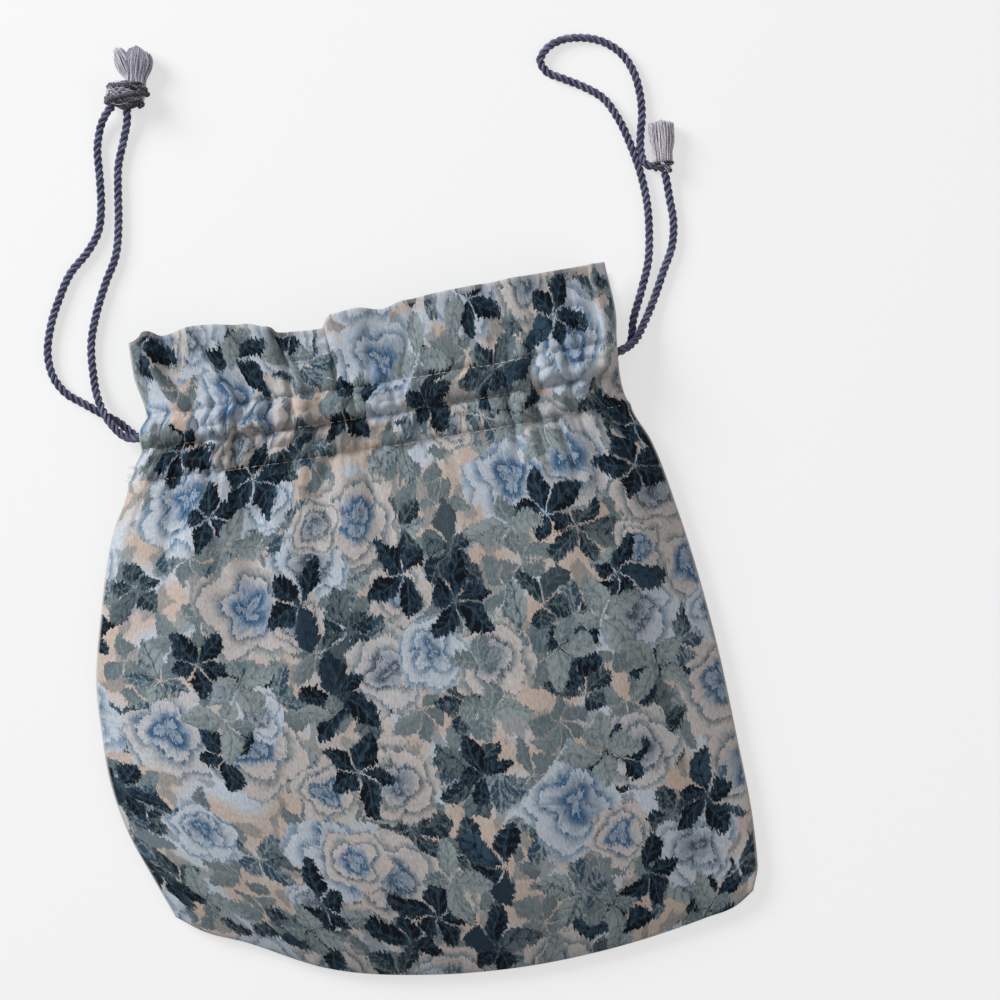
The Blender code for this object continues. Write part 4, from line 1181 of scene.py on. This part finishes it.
def tie(side, half, place, bands, yarn, lead, threads, dark, loose):
    """A knot of one core, strands wound round it and loose threads. threads: (count, reach, radius, seed)."""
    core = knot_core(f"knot_{side}_core", half, place, dark)
    turns = knot_turns(f"knot_{side}_turns", half, place, bands, yarn, lead, dark)
    tangle = loose_threads(f"knot_{side}_threads", half, place, *threads, loose)
    return [dress(piece, "binding_yarn", f"knot_{side}") for piece in (core, turns, tangle)]


def make_left_knot(dark, pale, grey):
    bands = ((0.62, 0.50, -40, 220, 0.0), (-0.62, 0.45, 222, -38, 0.0002), (-0.1, -0.72, 225, -40, 0.0),
             (-0.45, 0.1, 215, -38, 0.0006), (0.2, 0.70, -35, 215, 0.0))
    threads = (48, (30, 100), 0.00010, 3)
    knot = tie("left", KNOT_LEFT, KNOT_LEFT_AT, bands, 0.0010, 0.005, threads, dark, grey)
    outer_at = tuft_place(TUFT_LEFT_OUTER, TUFT_LEFT_OUTER_AT, KNOT_LEFT, KNOT_LEFT_AT)
    inner_at = tuft_place(TUFT_LEFT_INNER, TUFT_LEFT_INNER_AT, KNOT_LEFT, KNOT_LEFT_AT)
    shade = tuple(0.8 * size for size in TUFT_LEFT_OUTER)
    tufts = [brush("tassel_left_loop", TUFT_LEFT_OUTER, outer_at, 230, 5, pale, ragged=0.05, fold=0.42),
             brush("tassel_left_heart", shade, outer_at, 100, 12, grey, ragged=0.3),
             brush("tassel_left_fan", TUFT_LEFT_INNER, inner_at, 330, 6, grey, peak=-0.35, cut=0.30,
                   ragged=0.22, neck=0.66, tip=0.62)]
    return knot + [dress(piece, "tassel_yarn", "tassel_left") for piece in tufts]


def make_right_knot(dark, pale):
    bands = ((0.55, 0.2, -40, 220, 0.0), (-0.6, 0.5, 218, -38, 0.0002), (-0.2, -0.75, 220, -40, 0.0))
    threads = (9, (30, 90), 0.00012, 8)
    knot = tie("right", KNOT_RIGHT, KNOT_RIGHT_AT, bands, 0.0007, 0.004, threads, dark, pale)
    at = tuft_place(TUFT_RIGHT, TUFT_RIGHT_AT, KNOT_RIGHT, KNOT_RIGHT_AT)
    tuft = brush("tassel_right_brush", TUFT_RIGHT, at, 340, 9, pale, ragged=0.22, neck=0.76)
    return knot + [dress(tuft, "tassel_yarn", "tassel_right")]


# Stitching

ROW_START, ROW_SHARE = 0.0075, 0.985  # where a row of stitches starts and how much of the width it takes
ARCH = np.array((-0.10, 0.55, 0.8, 0.55, -0.10))  # a stitch from end to end, in thread widths off the cloth
FRAYED = 9


def stitches(name, row, is_front, seed, material):
    """A row of stitches: short threads that lie on the cloth and dip into it at each end."""
    point = front_point if is_front else back_point
    up = 1 if is_front else -1
    rng = np.random.default_rng(seed)
    width = HEADER_LEFT + HEADER_RIGHT
    half = STITCH_SHOWN / 2 / width
    parts = []
    for k in range(int(width * ROW_SHARE / STITCH)):
        middle = (k + 0.5) * STITCH / width + ROW_START + rng.normal(0, 0.0004)
        u = np.clip(middle + np.linspace(-half, half, 5), 0.003, 0.997)
        x, y, z = point(u, np.full(5, float(row)))
        proud = float(ease(-0.25, 0.30, noise(k / 6.0, row, 51)))
        arch = ARCH * proud - 0.5 * (1 - proud)
        z = z + up * (FABRIC / 2 + arch * THREAD * 0.8)
        y = y + rng.normal(0, 0.00008, 1) + np.linspace(-1, 1, 5) * rng.normal(0, 0.00005)
        parts.append(tube_mesh(np.stack([x, y, z], axis=1), THREAD / 2, 6))
    return joined_object(name, parts, material)


def frayed_ends(name, material):
    """Short threads that have worked loose at the left side opening."""
    rng = np.random.default_rng(17)
    parts = []
    for k in range(FRAYED):
        station = mix(2.45, 3.02, k / (FRAYED - 1)) + rng.normal(0, 0.03)
        x, y, z = (float(v) for v in front_point(0.004, station))
        t = np.linspace(0, 1, 8)[:, None]
        way = np.array((-rng.uniform(0.6, 1.0), rng.uniform(-0.9, 0.7), rng.uniform(-0.2, 0.25)))
        curl = np.array((0.0, rng.uniform(-1, 1), 0.2)) * 0.0012
        line = np.array((x, y, z)) + way * t * rng.uniform(0.0018, 0.0042) + curl * np.sin(np.pi * t)
        line[:, 2] = np.maximum(line[:, 2], 0.0006)
        parts.append(tube_mesh(line, 0.00011, 5))
    return joined_object(name, parts, material)


# Camera, light and floor

LIGHTS = (  # name, place, energy, size, tint
    ("key", (-1.36, 1.28, 0.96), 50.0, 0.96, (0.97, 0.98, 1.0)),
    ("fill", (0.9, -0.5, 0.9), 3.4, 0.9, (1.0, 0.92, 0.84)),
    ("top", (0.1, 0.2, 1.3), 1.8, 0.9, (1.0, 1.0, 1.0)),
)
LIGHTS_AIM = (0, 0.03, 0)
SKY = (0.9, 0.93, 1.0, 1)
SKY_STRENGTH = 0.22
FLOOR_HALF = 3.0
FLOOR_GLOW = 0.6  # how far the floor is lifted to white where the camera sees it


def make_stage():
    camera = bpy.data.cameras.new("camera")
    camera.lens = LENS
    camera.sensor_width = SENSOR
    camera.clip_end = 10
    made = bpy.data.objects.new("camera", camera)
    bpy.context.scene.collection.objects.link(made)
    up, look = Vector(VIEW_UP).normalized(), Vector((0, 0, -1))
    side = look.cross(up)
    turn = Matrix((side, up, -look)).transposed().to_4x4()
    distance = VIEW_WIDTH * LENS / SENSOR
    made.matrix_world = Matrix.Translation((*VIEW_CENTRE, distance)) @ turn
    bpy.context.scene.camera = made

    for name, place, energy, size, tint in LIGHTS:
        light = bpy.data.lights.new(name, "AREA")
        light.energy = energy
        light.size = size
        light.color = tint
        lamp = bpy.data.objects.new(name, light)
        bpy.context.scene.collection.objects.link(lamp)
        aim = Vector(LIGHTS_AIM) - Vector(place)
        lamp.matrix_world = Matrix.Translation(place) @ aim.to_track_quat("-Z", "Y").to_matrix().to_4x4()

    world = bpy.data.worlds.new("studio")
    bpy.context.scene.world = world
    world.use_nodes = True
    world.node_tree.nodes["Background"].inputs[0].default_value = SKY
    world.node_tree.nodes["Background"].inputs[1].default_value = SKY_STRENGTH

    corners = [(x * FLOOR_HALF, y * FLOOR_HALF, 0) for x, y in ((-1, -1), (1, -1), (1, 1), (-1, 1))]
    floor = mesh_object("floor", corners, [(0, 1, 2, 3)], floor_material())
    bpy.context.scene.view_settings.view_transform = "Standard"


def floor_material():
    """Pale paper that the camera sees nearly white, with a soft shadow left on it."""
    net = Net("floor", roughness=0.9)
    net.shader.inputs["Base Color"].default_value = rgb(236, 236, 234)
    nodes, links = net.tree.nodes, net.tree.links
    glow = nodes.new("ShaderNodeEmission")
    rays = nodes.new("ShaderNodeLightPath")
    both = nodes.new("ShaderNodeMixShader")
    share = net.math("MULTIPLY", Term(net, rays.outputs["Is Camera Ray"]), FLOOR_GLOW)
    links.new(share.socket, both.inputs[0])
    links.new(net.shader.outputs[0], both.inputs[1])
    links.new(glow.outputs[0], both.inputs[2])
    links.new(both.outputs[0], nodes["Material Output"].inputs[0])
    return net.material


def dress(piece, slot, *nodes):
    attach(piece, "root")
    if nodes:
        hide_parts(*nodes)
    return piece


def main():
    make_stage()
    purple = cord_yarn("cord_yarn", rgb(86, 88, 118), rgb(126, 130, 162), rgb(38, 36, 54))
    dark = cord_yarn("binding_yarn", rgb(66, 60, 70), rgb(112, 106, 118), rgb(26, 22, 26))
    pale = fibre_yarn("pale_yarn", rgb(196, 192, 202), rgb(232, 228, 232), rgb(128, 122, 134))
    grey = fibre_yarn("tassel_yarn", rgb(168, 166, 184), rgb(212, 210, 222), rgb(84, 82, 100))
    for side, name, held in ((-1, "cord_left", make_left_knot(dark, pale, grey)),
                             (1, "cord_right", make_right_knot(dark, pale))):
        make_cord(side, name, purple)

    cotton = printed_cotton("printed_cotton")
    front = panel("front_cloth", front_point, True, *FRONT_GRID, cotton)
    back = panel("back_cloth", back_point, False, *BACK_GRID, cotton)
    dress(front, "print_cotton", "front_panel")
    dress(back, "print_cotton", "back_panel")
    thread = plain("thread", rgb(192, 186, 178))
    front_trim = [frayed_ends("frayed_ends", thread)]
    front_trim += [stitches(f"front_stitches_{row}", row, True, 30 + row, thread) for row in (1, 2, 3)]
    back_trim = [stitches(f"back_stitches_{row}", row, False, 40 + row, thread) for row in (1, 2, 3)]
    for piece in front_trim + back_trim:
        dress(piece, "print_cotton")


main()
